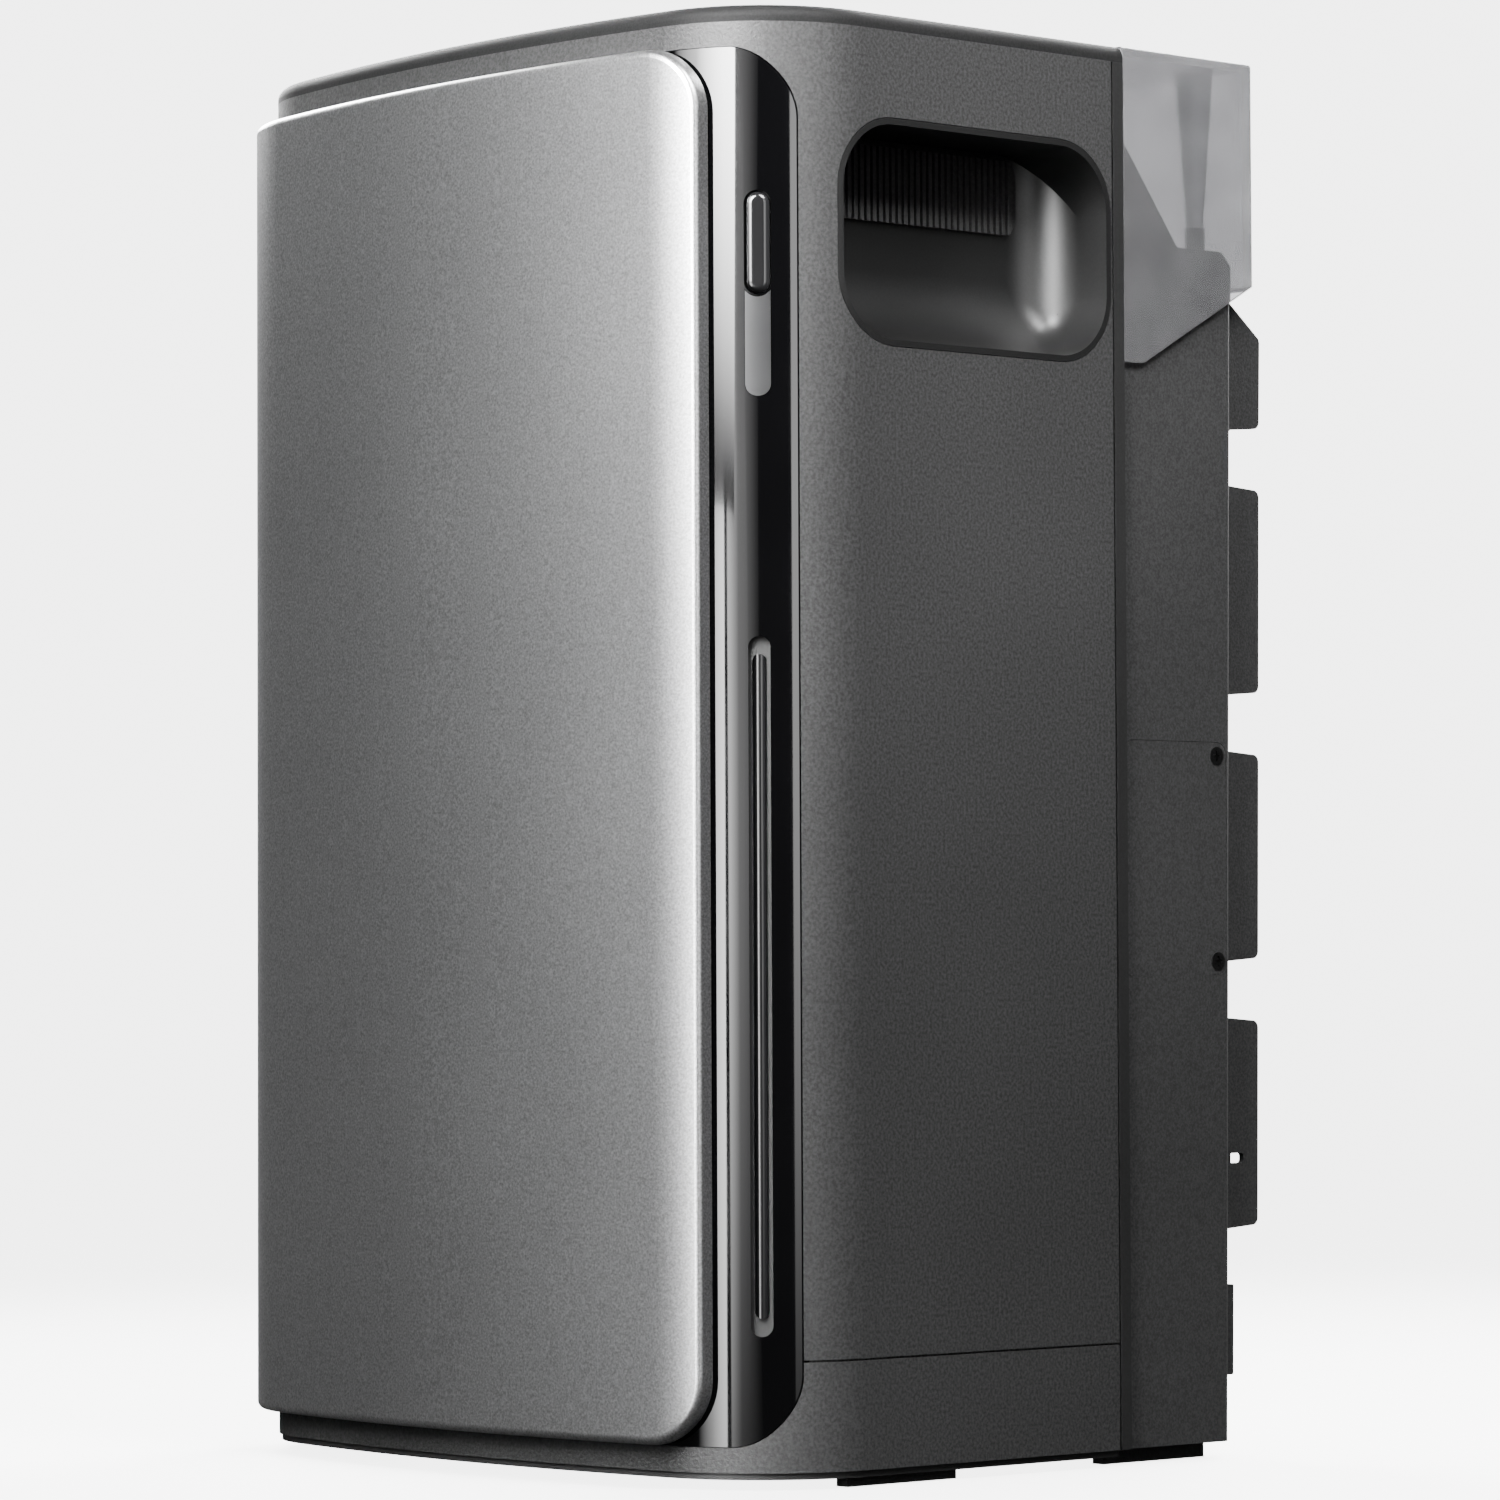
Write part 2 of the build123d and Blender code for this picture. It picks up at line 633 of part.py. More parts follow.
def control_pocket():
    """Window through the casing wall behind the light bar and the button."""
    return control_block(
        BOARD_WIDTH - 2 * POCKET_INSET, SLOT_BOTTOM - POCKET_END, BUTTON_TOP + POCKET_HEAD,
        -CASING_WALL - POCKET_END, -FASCIA_SEAT + 0.1,
    )


def make_shells():
    seat_layer = skin(-FASCIA_SEAT, CUT, PANEL_BOTTOM - SEAT_MARGIN, PANEL_TOP + SEAT_MARGIN)
    fascia_seat = seat_layer & fascia_window(FASCIA_GAP)
    pocket = control_pocket()
    handle_hole = at_handle(handle_mouth(CUP_WALL + CUP_GAP, -2 * CASING_WALL, CUT))

    casing = plan_solid(0, SEAM_Y, PARTING_Z, LID_Z)
    casing -= plan_solid(-CASING_WALL, SEAM_Y + CUT, PARTING_Z - CUT, LID_Z + CUT)
    casing = casing - fascia_seat - pocket - handle_hole - mirrored(handle_hole)
    keep("front_casing", casing)

    tray = plan_solid(0, SEAM_Y, SKIRT_Z, PARTING_Z)
    tray -= plan_solid(-CASING_WALL, SEAM_Y + CUT, FLOOR_Z, PARTING_Z + CUT)
    groove = plan_solid(CUT, SEAM_Y + CUT, PARTING_Z - PARTING_GROOVE, PARTING_Z + CUT)
    groove -= plan_solid(-GROOVE_DEPTH, SEAM_Y + 2 * CUT, PARTING_Z - 2 * CUT, PARTING_Z + 2 * CUT)
    keep("lower_skirt", tray - fascia_seat - groove)

    keep("base_plate", plan_solid(-BASE_PLATE_INSET, SEAM_Y, BASE_Z, SKIRT_Z))

    lid = plan_solid(0, FRAME_BACK, LID_Z, HEIGHT)
    rim = lid.faces().sort_by(Axis.Z)[-1].edges()
    back_edge = rim.sort_by(Axis.Y)[-1]
    lid = fillet([edge for edge in rim if edge != back_edge], LID_EDGE_RADIUS)
    lid -= plan_solid(-CASING_WALL, SEAM_Y, LID_Z - CUT, HEIGHT - LID_SKIN)
    boss_length = RADIO_DROP + LID_HEIGHT - LID_SKIN / 2
    for x in (-RADIO_X + RADIO_BOSS_INSET, RADIO_X - RADIO_BOSS_INSET):
        for y in (RADIO_Y + RADIO_BOSS_INSET, RADIO_Y + RADIO_LENGTH - RADIO_BOSS_INSET):
            lid += rod(x, y, LID_Z - RADIO_DROP, RADIO_BOSS_RADIUS, boss_length, (0, 0, 1))
    keep("top_lid", lid)

    front_x = HALF_W - FRONT_FOOT_INSET
    rear_x = HALF_W - REAR_FOOT_INSET
    front_feet_y = CORNER_Y - FEET_AHEAD
    rear_feet_y = FRAME_FRONT + FEET_BEHIND
    feet = []
    for side in (-1, 1):
        x0, x1 = sorted((side * front_x, side * (front_x - FOOT_WIDTH)))
        feet.append(block(x0, x1, front_feet_y, front_feet_y + FOOT_LENGTH, 0, BASE_Z))
        x0, x1 = sorted((side * rear_x, side * (rear_x - FOOT_WIDTH)))
        feet.append(block(x0, x1, rear_feet_y, rear_feet_y + FOOT_LENGTH, 0, SKIRT_Z))
    keep("feet", *feet)


def make_handles():
    cup = at_handle(handle_core(CUP_WALL) - handle_core(0))
    cup = cup & plan_solid(0, SEAM_Y, HANDLE_Z - HANDLE_HEIGHT, HANDLE_Z + HANDLE_HEIGHT)
    keep("handle_cup_right", cup)
    keep("handle_cup_left", mirrored(cup))

    middle = HANDLE_HEIGHT / 2 - GRIP_HEIGHT / 2 - GRIP_DROP
    face = GRIP_BASE - HANDLE_DEPTH
    grip = rounded_x(0, middle, GRIP_LENGTH, GRIP_HEIGHT, GRIP_CORNER, -HANDLE_DEPTH, face)
    count = int((GRIP_LENGTH - 2 * GRIP_END) / GRIP_PITCH)
    rib_half = GRIP_PITCH / 4
    for index in range(count):
        y = (index - (count - 1) / 2) * GRIP_PITCH
        grip += block(
            face - GRIP_BASE / 2, face + GRIP_RIB,
            y - rib_half, y + rib_half,
            middle - GRIP_HEIGHT / 2, middle + GRIP_HEIGHT / 2,
        )
    outline = rounded_x(0, middle, GRIP_LENGTH, GRIP_HEIGHT, GRIP_CORNER, -HANDLE_DEPTH, face + 2 * GRIP_RIB)
    grip = at_handle(grip & outline & handle_core(0))
    keep("grip_pad_right", grip)
    keep("grip_pad_left", mirrored(grip))


# --- front face ---------------------------------------------------------------

def slot_through(width, length, middle, gap):
    """Cutter through the fascia for a round-ended bar with a gap all round."""
    return pill(width + 2 * gap, length + 2 * gap, middle, -2 * FASCIA_THICKNESS, 2 * CUT)


def make_front():
    fascia = skin(-FASCIA_THICKNESS, 0, PANEL_BOTTOM - CUT, PANEL_TOP + CUT) & fascia_window(0)
    fascia -= slot_through(SLOT_WIDTH, SLOT_LENGTH, SLOT_BOTTOM + SLOT_LENGTH / 2, 0)
    fascia -= slot_through(BUTTON_WIDTH, BUTTON_LENGTH, BUTTON_Z, BUTTON_GAP)
    tag_bar = TAG_LENGTH + BUTTON_WIDTH
    tag_middle = TAG_LOW + tag_bar / 2
    collar = BUTTON_GAP + TAG_COLLAR
    tag = pill(BUTTON_WIDTH, tag_bar, tag_middle, -TAG_THICKNESS, CUT)
    tag -= slot_through(BUTTON_WIDTH, BUTTON_LENGTH, BUTTON_Z, collar + TAG_GAP)
    bed = -TAG_THICKNESS - TAG_BED
    recess = pill(BUTTON_WIDTH + 2 * TAG_GAP, tag_bar + 2 * TAG_GAP, tag_middle, bed, CUT)
    recess -= slot_through(BUTTON_WIDTH, BUTTON_LENGTH, BUTTON_Z, collar)
    keep("front_fascia", fascia - recess)
    keep("button_tag", tag & plan_solid(TAG_PROUD, 0, TAG_LOW - CUT, BUTTON_Z))

    x_right = corner_point(PANEL_RIGHT_ANGLE, PANEL_PROUD)[0]
    x_left = -corner_point(PANEL_LEFT_ANGLE, PANEL_PROUD)[0]
    low, high = PANEL_BOTTOM + PANEL_RISE, PANEL_TOP + PANEL_RISE
    window = soft_window(x_left, x_right, low, high, PANEL_LEFT_CORNER, PANEL_RIGHT_CORNER)
    inner = PANEL_GAP + CARRIER_THICKNESS
    panel = skin(inner, PANEL_PROUD, low - CUT, high + CUT) & window
    keep("front_panel", fillet(outer_rim(panel, PANEL_PROUD), PANEL_EDGE_RADIUS))
    inset = CARRIER_INSET
    back_window = soft_window(
        x_left + inset, x_right - inset, low + inset, high - inset, PANEL_LEFT_CORNER, CARRIER_RIGHT_CORNER
    )
    keep("panel_carrier", skin(PANEL_GAP, inner, low, high) & back_window)

    clips = []
    layer = skin(0, PANEL_GAP, low, high)
    reach = CLIP_WIDTH / 2
    rise = CLIP_HEIGHT / 2
    for x in (-CORNER_X, 0, CORNER_X):
        for z in (low + CLIP_MARGIN, (low + high) / 2, high - CLIP_MARGIN):
            clips.append(layer & block(x - reach, x + reach, -DEPTH, 0, z - rise, z + rise))
    keep("panel_clips", *clips)


def make_controls():
    stem = pill(BUTTON_WIDTH, BUTTON_LENGTH, BUTTON_Z, -KEY_DEPTH, BUTTON_PROUD)
    stem = fillet(pill_rim(stem, BUTTON_PROUD), BUTTON_EDGE_RADIUS)
    flange_width = BUTTON_WIDTH + 2 * FLANGE_REACH
    flange_length = BUTTON_LENGTH + 2 * FLANGE_REACH
    flange = pill(flange_width, flange_length, BUTTON_Z, -FLANGE_BOTTOM, -FLANGE_TOP)
    plunger = control_place(0, BUTTON_Z, -FLANGE_BOTTOM - PLUNGER_LENGTH)
    plunger = plunger * extrude(Circle(PLUNGER_RADIUS), PLUNGER_LENGTH + (FLANGE_BOTTOM - FLANGE_TOP) / 2)
    keep("power_button", stem + flange + plunger)

    room = BOARD_DEPTH - FLANGE_BOTTOM - BUTTON_TRAVEL - SPRING_PLAY
    rise = room - 2 * SPRING_WIRE
    springs = []
    for side in (-1, 1):
        coil = Helix(pitch=rise / SPRING_TURNS, height=rise, radius=SPRING_RADIUS)
        profile = Plane(origin=coil @ 0, z_dir=coil % 0) * Circle(SPRING_WIRE)
        spring = sweep(profile, path=coil)
        seat = control_place(0, BUTTON_Z + side * SPRING_OFFSET, -FLANGE_BOTTOM - room + SPRING_WIRE)
        springs.append(seat * spring)
    keep("button_springs", *springs)

    board_low = SLOT_BOTTOM - BOARD_END
    board_high = BUTTON_TOP + BOARD_HEAD
    board_width = BOARD_WIDTH - 2 * BOARD_SIDE
    board = control_block(board_width, board_low, board_high, -BOARD_DEPTH - BOARD_THICKNESS, -BOARD_DEPTH)
    keep("light_board", board)
    half = SWITCH_SIZE / 2
    switch_top = SWITCH_HEIGHT - BOARD_DEPTH
    switch = control_block(SWITCH_SIZE, BUTTON_Z - half, BUTTON_Z + half, -BOARD_DEPTH, switch_top)
    nub = control_place(0, BUTTON_Z, -BOARD_DEPTH) * extrude(Circle(NUB_RADIUS), SWITCH_HEIGHT + NUB_HEIGHT)
    keep("button_switch", switch + nub)

    leds = []
    for index in range(LED_COUNT):
        v = GUIDE_LOW + GUIDE_LENGTH * (index + 0.5) / LED_COUNT
        half = LED_LENGTH / 2
        leds.append(control_block(LED_WIDTH, v - half, v + half, -BOARD_DEPTH, -BOARD_DEPTH + LED_HEIGHT))
    keep("status_leds", *leds)

    half = GUIDE_WIDTH / 2
    guide_middle = GUIDE_LOW + GUIDE_LENGTH / 2
    bar = pill(GUIDE_WIDTH, GUIDE_LENGTH, guide_middle, -BOARD_DEPTH + LED_HEIGHT, -GUIDE_RECESS)
    rounding = control_place(0, GUIDE_LOW, -GUIDE_RECESS - half) * Rot(-90, 0, 0)
    rounding = rounding * extrude(Circle(half), GUIDE_LENGTH)
    body = control_block(GUIDE_WIDTH, GUIDE_LOW, GUIDE_LOW + GUIDE_LENGTH, -BOARD_DEPTH, -GUIDE_RECESS - half)
    keep("light_guide", bar & (rounding + body))

    seat = -CORNER_RADIUS + math.sqrt((CORNER_RADIUS - CASING_WALL) ** 2 - (BOARD_WIDTH / 2) ** 2)
    carrier_low, carrier_high = board_low - CARRIER_END, board_high + CARRIER_END
    carrier = control_block(BOARD_WIDTH, carrier_low, carrier_high, -BOARD_DEPTH, seat)
    nose_top = TAG_LOW - NOSE_DROP
    carrier += control_block(SLOT_WIDTH + 2 * NOSE_FLANK, board_low, nose_top, seat - CUT, -CARRIER_NOSE)
    guide_hole = pill(
        GUIDE_WIDTH + 2 * GUIDE_GAP, GUIDE_LENGTH + 2 * GUIDE_GAP, guide_middle, -BOARD_DEPTH - CUT, 0
    )
    chamber = control_block(
        BOARD_WIDTH - 2 * CHAMBER_WALL, nose_top + CHAMBER_WALL, board_high - CHAMBER_WALL + CARRIER_END,
        -BOARD_DEPTH - CUT, 0,
    )
    keep("light_carrier", carrier - guide_hole - chamber)


# --- frame between casing and rear housing ------------------------------------

def gasket_ring():
    """Flat ring that lies in the back of the frame, round the rim of the housing."""
    low, high = SKIRT_Z + GASKET_INSET, SHELF_Z - GASKET_INSET
    outer = block(-GASKET_OUTER, GASKET_OUTER, FRAME_BACK - GASKET_DEPTH, FRAME_BACK, low, high)
    inner_x = GASKET_OUTER - GASKET_WIDTH
    inner = block(-inner_x, inner_x, 0, DEPTH, low + GASKET_WIDTH, high - GASKET_WIDTH)
    return outer - inner


def frame_screw_heights():
    first = FLOOR_Z + FIRST_SCREW_RISE
    last = HANDLE_Z - HANDLE_HEIGHT / 2 - LAST_SCREW_DROP
    steps = FRAME_SCREWS_PER_SIDE - 1
    return [first + (last - first) * index / steps for index in range(steps + 1)]


def make_frame():
    frame = block(-HALF_W, HALF_W, FRAME_FRONT, FRAME_BACK, SKIRT_Z, LID_Z)
    frame -= block(-OPENING_HALF, OPENING_HALF, 0, DEPTH, FLOOR_Z + OPENING_RISE, SHELF_Z - OPENING_DROP)
    rise = SOCKET_RADIUS + SOCKET_WALL + WINDOW_GAP
    frame -= block(-WINDOW_HALF, WINDOW_HALF, 0, DEPTH, SOCKET_Z - rise, SOCKET_Z + rise)
    spigot_half = HALF_W - SPIGOT_INSET
    for low in (FLOOR_Z + SPIGOT_GAP, LID_Z - SPIGOT_GAP - SPIGOT_THICKNESS):
        high = low + SPIGOT_THICKNESS
        frame += block(-spigot_half, spigot_half, SEAM_Y - SPIGOT_DEPTH, FRAME_FRONT + CUT, low, high)
    frame -= gasket_ring()
    screws = []
    for side in (-1, 1):
        for z in frame_screw_heights():
            x = side * FRAME_SCREW_X
            shank = rod(x, FRAME_FRONT, z, FRAME_SCREW_RADIUS, FRAME_THICKNESS + FRAME_SCREW_GRIP, (0, 1, 0))
            head = rod(x, FRAME_FRONT, z, FRAME_SCREW_HEAD, FRAME_SCREW_HEAD_HEIGHT, (0, -1, 0))
            frame -= shank
            screws.append(head + shank)
    keep("mid_frame", frame)
    keep("housing_gasket", gasket_ring())
    keep("frame_screws", *screws)


# --- cast rear housing with cooling fins --------------------------------------

def housing_back(z):
    """Y of the drafted back face at a height."""
    share = (z - SKIRT_Z) / (CHAMFER_Z - SKIRT_Z)
    return FRAME_BACK + HOUSING_DEPTH - HOUSING_DRAFT * (1 - share)


def fin_columns():
    reach = HALF_W - FIN_SIDE_MARGIN - FIN_THICKNESS / 2
    steps = int(reach / FIN_PITCH)
    pitch = reach / steps
    return [index * pitch for index in range(-steps, steps + 1)]


def fin_rows():
    """Lowest and highest level of each row of fins."""
    top = CHAMFER_Z - FIN_TOP_MARGIN
    rows = []
    low = FIN_BOTTOM
    while low < top - FIN_SHORTEST:
        rows.append((low, min(low + FIN_SEGMENT, top)))
        low += FIN_PERIOD
    return rows


def fin(x, low, high):
    """One fin; the one that reaches the bay is cut back along the top."""
    cut_back = high < low + FIN_SEGMENT
    slope = FIN_HEIGHT - FIN_TIP_FLAT if cut_back else FIN_TAPER
    points = [
        (housing_back(low - FIN_TAPER), low - FIN_TAPER),
        (housing_back(low) + FIN_HEIGHT, low),
        (housing_back(high) + FIN_HEIGHT, high - slope + FIN_TAPER),
        (housing_back(high + FIN_TAPER), high + FIN_TAPER),
    ]
    blade = across(points, x - FIN_THICKNESS / 2, x + FIN_THICKNESS / 2)
    tips = blade.edges().filter_by(Axis.X).sort_by(Axis.Y)[-2:]
    return fillet(tips, FIN_TIP_RADIUS)


def make_fins():
    blades = []
    low, _ = fin_rows()[0]
    slot_z = low + STRAP_SLOT_RISE
    slot_y = housing_back(slot_z) + FIN_HEIGHT / 2
    outermost = fin_columns()[-1]
    strap_slot = rounded_x(
        slot_y, slot_z, STRAP_SLOT_WIDTH, STRAP_SLOT_HEIGHT, STRAP_SLOT_RADIUS, -FIN_THICKNESS, FIN_THICKNESS
    )
    for low, high in fin_rows():
        for x in fin_columns():
            blade = fin(x, low, high)
            if low == FIN_BOTTOM and x in (-outermost, outermost):
                blade -= Pos(x, 0, 0) * strap_slot
            blades.append(blade)
    keep("cooling_fins", *blades)


def service_y_range():
    """Front and back edge of the service cover."""
    return FRAME_BACK + SERVICE_FROM_FRAME, housing_back(SERVICE_Z) - SERVICE_RIM


def service_screw_points():
    """Two screws, at the rear corners of the service cover."""
    y = service_y_range()[1] - SERVICE_SCREW_INSET
    reach = SERVICE_HEIGHT / 2 - SERVICE_SCREW_INSET
    return [(y, SERVICE_Z - reach), (y, SERVICE_Z + reach)]


def service_plate(grow, x0, x1):
    """Rounded plate of the service cover, from x0 to x1, grown by a clearance."""
    y0, y1 = service_y_range()
    return rounded_x(
        (y0 + y1) / 2, SERVICE_Z, y1 - y0 + 2 * grow, SERVICE_HEIGHT + 2 * grow, SERVICE_CORNER + grow, x0, x1
    )


def service_opening(x0, x1):
    """Opening behind the service cover, inside the land for its gasket."""
    y0, y1 = service_y_range()
    half = SERVICE_HEIGHT / 2 - SERVICE_LAND
    return block(x0, x1, y0 + SERVICE_LAND, y1 - SERVICE_LAND, SERVICE_Z - half, SERVICE_Z + half)


def lower_screw_columns():
    reach = HOUSING_HALF - LOWER_SCREW_INSET
    pitch = 2 * reach / (LOWER_SCREWS - 1)
    return [index * pitch - reach for index in range(LOWER_SCREWS)]


def housing_shell():
    """Hollow casting, open to the frame, with a shelf and two gussets at the connector bay."""
    bottom = SKIRT_Z
    wall = HOUSING_WALL
    roof = SHELF_Z - wall
    outer = [
        (FRAME_BACK, bottom),
        (housing_back(bottom), bottom),
        (housing_back(CHAMFER_Z), CHAMFER_Z),
        (SHELF_BACK_Y, SHELF_Z),
        (SHELF_FRONT_Y, SHELF_Z),
        (FRAME_BACK, LID_Z - GUSSET_TOP_DROP),
    ]
    inner = [
        (FRAME_BACK - CUT, bottom + wall),
        (housing_back(bottom + wall) - wall, bottom + wall),
        (housing_back(CHAMFER_Z - wall) - wall, CHAMFER_Z - wall),
        (SHELF_BACK_Y - wall / 2, roof),
        (FRAME_BACK - CUT, roof),
    ]
    shell = across(outer, -HOUSING_HALF, HOUSING_HALF)
    corners = [
        edge for edge in shell.edges()
        if abs(edge.center().X) > HOUSING_HALF - CUT
        and edge.length > (CHAMFER_Z - SKIRT_Z) / 2
        and edge.center().Y > SHELF_FRONT_Y
    ]
    shell = fillet(corners, HOUSING_EDGE_RADIUS)
    shell -= across(inner, -HOUSING_HALF + wall, HOUSING_HALF - wall)
    return shell - block(-BAY_HALF, BAY_HALF, FRAME_BACK - CUT, DEPTH, SHELF_Z, HEIGHT)


def make_housing():
    housing = housing_shell()
    wall = HOUSING_WALL
    for side in (-1, 1):
        for z in frame_screw_heights():
            middle = side * (HOUSING_HALF - wall - BOSS_OFFSET)
            boss = block(
                middle - BOSS_HALF_WIDTH, middle + BOSS_HALF_WIDTH, FRAME_BACK, FRAME_BACK + BOSS_LENGTH,
                z - BOSS_HALF_HEIGHT, z + BOSS_HALF_HEIGHT,
            )
            housing += boss & block(CUT - HOUSING_HALF, HOUSING_HALF - CUT, 0, DEPTH, 0, HEIGHT)
            x = side * FRAME_SCREW_X
            housing -= rod(x, FRAME_BACK - CUT, z, FRAME_SCREW_RADIUS, CUT + SCREW_HOLE_DEPTH, (0, 1, 0))

    housing -= service_plate(SERVICE_GAP, HOUSING_HALF - SERVICE_COVER - SERVICE_GASKET, HOUSING_HALF + CUT)
    housing -= service_opening(HOUSING_HALF - wall - CUT, HOUSING_HALF)
    for y, z in service_screw_points():
        housing -= rod(HOUSING_HALF, y, z, SCREW_SHANK_RADIUS, wall + CUT, (-1, 0, 0))

    back = housing_back(LOWER_COVER_Z)
    for x in lower_screw_columns():
        housing -= rod(x, back + CUT, LOWER_COVER_Z, SCREW_SHANK_RADIUS, wall + 2 * CUT, (0, -1, 0))
    housing -= block(
        -PORT_HALF_WIDTH, PORT_HALF_WIDTH, back - 2 * wall, back + CUT,
        LOWER_COVER_Z - PORT_HALF_HEIGHT, LOWER_COVER_Z + PORT_HALF_HEIGHT,
    )

    for x in (-POST_X, POST_X):
        housing -= rod(x, POST_Y, SHELF_Z + CUT, GROMMET_RADIUS, CUT + GROMMET_HEIGHT, (0, 0, -1))
    housing -= rod(*VENT_PLACE, SKIRT_Z - CUT, VENT_RADIUS, wall + 2 * CUT, (0, 0, 1))
    keep("rear_housing", housing)


def make_housing_covers():
    face = HOUSING_HALF
    back = face - SERVICE_COVER
    cover = service_plate(0, back, face)
    gasket = service_plate(0, back - SERVICE_GASKET, back)
    gasket -= service_opening(back - 2 * SERVICE_GASKET, back + CUT)
    proud = face + SERVICE_HEAD_PROUD
    screws = []
    for y, z in service_screw_points():
        head = rod(proud, y, z, SCREW_HEAD_RADIUS, SERVICE_HEAD_HEIGHT, (-1, 0, 0))
        shank = rod(face, y, z, SCREW_SHANK_RADIUS, SERVICE_SCREW_GRIP, (-1, 0, 0))
        gasket -= shank
        cover = cover - shank - head
        screws.append(head + shank - cross_recess(proud, y, z, (-1, 0, 0)))
    keep("service_cover", cover)
    keep("service_cover_gasket", gasket)
    keep("service_cover_screws", *screws)

    low = LOWER_COVER_BOTTOM
    high = low + LOWER_COVER_HEIGHT
    half = HOUSING_HALF - LOWER_COVER_INSET
    profile = [
        (housing_back(low), low),
        (housing_back(low) + LOWER_COVER_PROUD, low),
        (housing_back(high) + LOWER_COVER_PROUD, high),
        (housing_back(high), high),
    ]
    bar = across(profile, -half, half)
    outer_face = bar.faces().sort_by(Axis.Y)[-1]
    bar = fillet(outer_face.edges(), LOWER_COVER_RADIUS)
    z = LOWER_COVER_Z
    front = housing_back(z) + LOWER_COVER_PROUD
    sunk = front - LOWER_HEAD_SUNK
    port_screws = []
    for x in lower_screw_columns():
        head = rod(x, sunk, z, SCREW_HEAD_RADIUS, LOWER_HEAD_HEIGHT, (0, -1, 0))
        grip = LOWER_COVER_PROUD + LOWER_SCREW_GRIP
        shank = rod(x, sunk, z, SCREW_SHANK_RADIUS, grip, (0, -1, 0))
        well = rod(x, front + CUT, z, SCREW_HEAD_RADIUS + WELL_GAP, CUT + WELL_DEPTH, (0, -1, 0))
        bar = bar - well - shank
        port_screws.append(head + shank - cross_recess(x, sunk, z, (0, -1, 0)))
    keep("lower_rear_cover", bar)
    keep("lower_cover_screws", *port_screws)

    flange = rod(*VENT_PLACE, SKIRT_Z - VENT_FLANGE, VENT_FLANGE_RADIUS, VENT_FLANGE, (0, 0, 1))
    plug = rod(*VENT_PLACE, SKIRT_Z - VENT_FLANGE / 2, VENT_RADIUS, HOUSING_WALL + VENT_FLANGE, (0, 0, 1))
    keep("pressure_vent", flange + plug)


# --- connector bay ------------------------------------------------------------

def make_connector_cover():
    front = FRAME_BACK + COVER_GAP
    back = FRAME_BACK + COVER_DEPTH
    low_front = LID_Z - COVER_FRONT_DROP
    low_rear = LID_Z - COVER_REAR_DROP
    profile = [
        (front, low_front),
        (front + COVER_FLAT, low_front),
        (back, low_rear),
        (back, HEIGHT),
        (front, HEIGHT),
    ]
    shell = across(profile, -HALF_W, HALF_W)
    top_face = shell.faces().sort_by(Axis.Z)[-1]
    front_edge = top_face.edges().sort_by(Axis.Y)[0]
    shell = fillet([edge for edge in top_face.edges() if edge != front_edge], COVER_EDGE_RADIUS)
    below = low_front - COVER_WALL
    inside = [
        (front - CUT, below),
        (back - COVER_WALL, below),
        (back - COVER_WALL, HEIGHT - COVER_WALL),
        (front - CUT, HEIGHT - COVER_WALL),
    ]
    inner_half = HALF_W - COVER_SIDE_WALL
    shell -= across(inside, -inner_half, inner_half)
    post_foot = SHELF_Z + PEG_HEIGHT
    post_height = HEIGHT - COVER_WALL / 2 - post_foot
    root = inner_half + POST_ROOT
    pegs = []
    grommets = []
    for x in (-POST_X, POST_X):
        middle = Pos(x, POST_Y, post_foot + post_height / 2)
        post = middle * Cone(POST_FOOT_RADIUS, POST_TOP_RADIUS, post_height)
        shell += post & block(-root, root, 0, DEPTH, 0, HEIGHT - CUT)
        peg = rod(x, POST_Y, post_foot, PEG_RADIUS, PEG_HEIGHT - PEG_GAP, (0, 0, -1))
        peg += rod(x, POST_Y, post_foot, PIN_RADIUS, PEG_HEIGHT + PIN_REACH, (0, 0, -1))
        pegs.append(peg)
        ring = rod(x, POST_Y, SHELF_Z, GROMMET_RADIUS, GROMMET_HEIGHT, (0, 0, -1))
        bore = GROMMET_RADIUS - GROMMET_WALL
        ring -= rod(x, POST_Y, SHELF_Z + CUT, bore, GROMMET_HEIGHT + 2 * CUT, (0, 0, -1))
        grommets.append(ring)
    keep("connector_cover", shell)
    keep("cover_pegs", *pegs)
    keep("peg_grommets", *grommets)


def make_outlet(x, face):
    """Round earthed socket with its rim at face: two pin holes and two earth clip recesses."""
    outer = SOCKET_RADIUS + SOCKET_WALL
    body = rod(x, face, SOCKET_Z, SOCKET_RADIUS + BEZEL_LAND, BEZEL_HEIGHT, (0, -1, 0))
    body += rod(x, face, SOCKET_Z, outer, SOCKET_DEPTH + SOCKET_WALL, (0, -1, 0))
    body -= rod(x, face + CUT, SOCKET_Z, SOCKET_RADIUS, SOCKET_DEPTH + CUT, (0, -1, 0))
    for side in (-1, 1):
        hole_x = x + side * PIN_HOLE_OFFSET
        body -= rod(hole_x, face, SOCKET_Z, PIN_HOLE_RADIUS, SOCKET_DEPTH + SOCKET_WALL + CUT, (0, -1, 0))
        reaches = (SOCKET_RADIUS - CUT, SOCKET_RADIUS + EARTH_CLIP_DEPTH)
        z0, z1 = sorted(SOCKET_Z + side * reach for reach in reaches)
        body -= block(
            x - EARTH_CLIP_HALF, x + EARTH_CLIP_HALF, face - SOCKET_DEPTH, face - EARTH_CLIP_INSET, z0, z1
        )
    return body


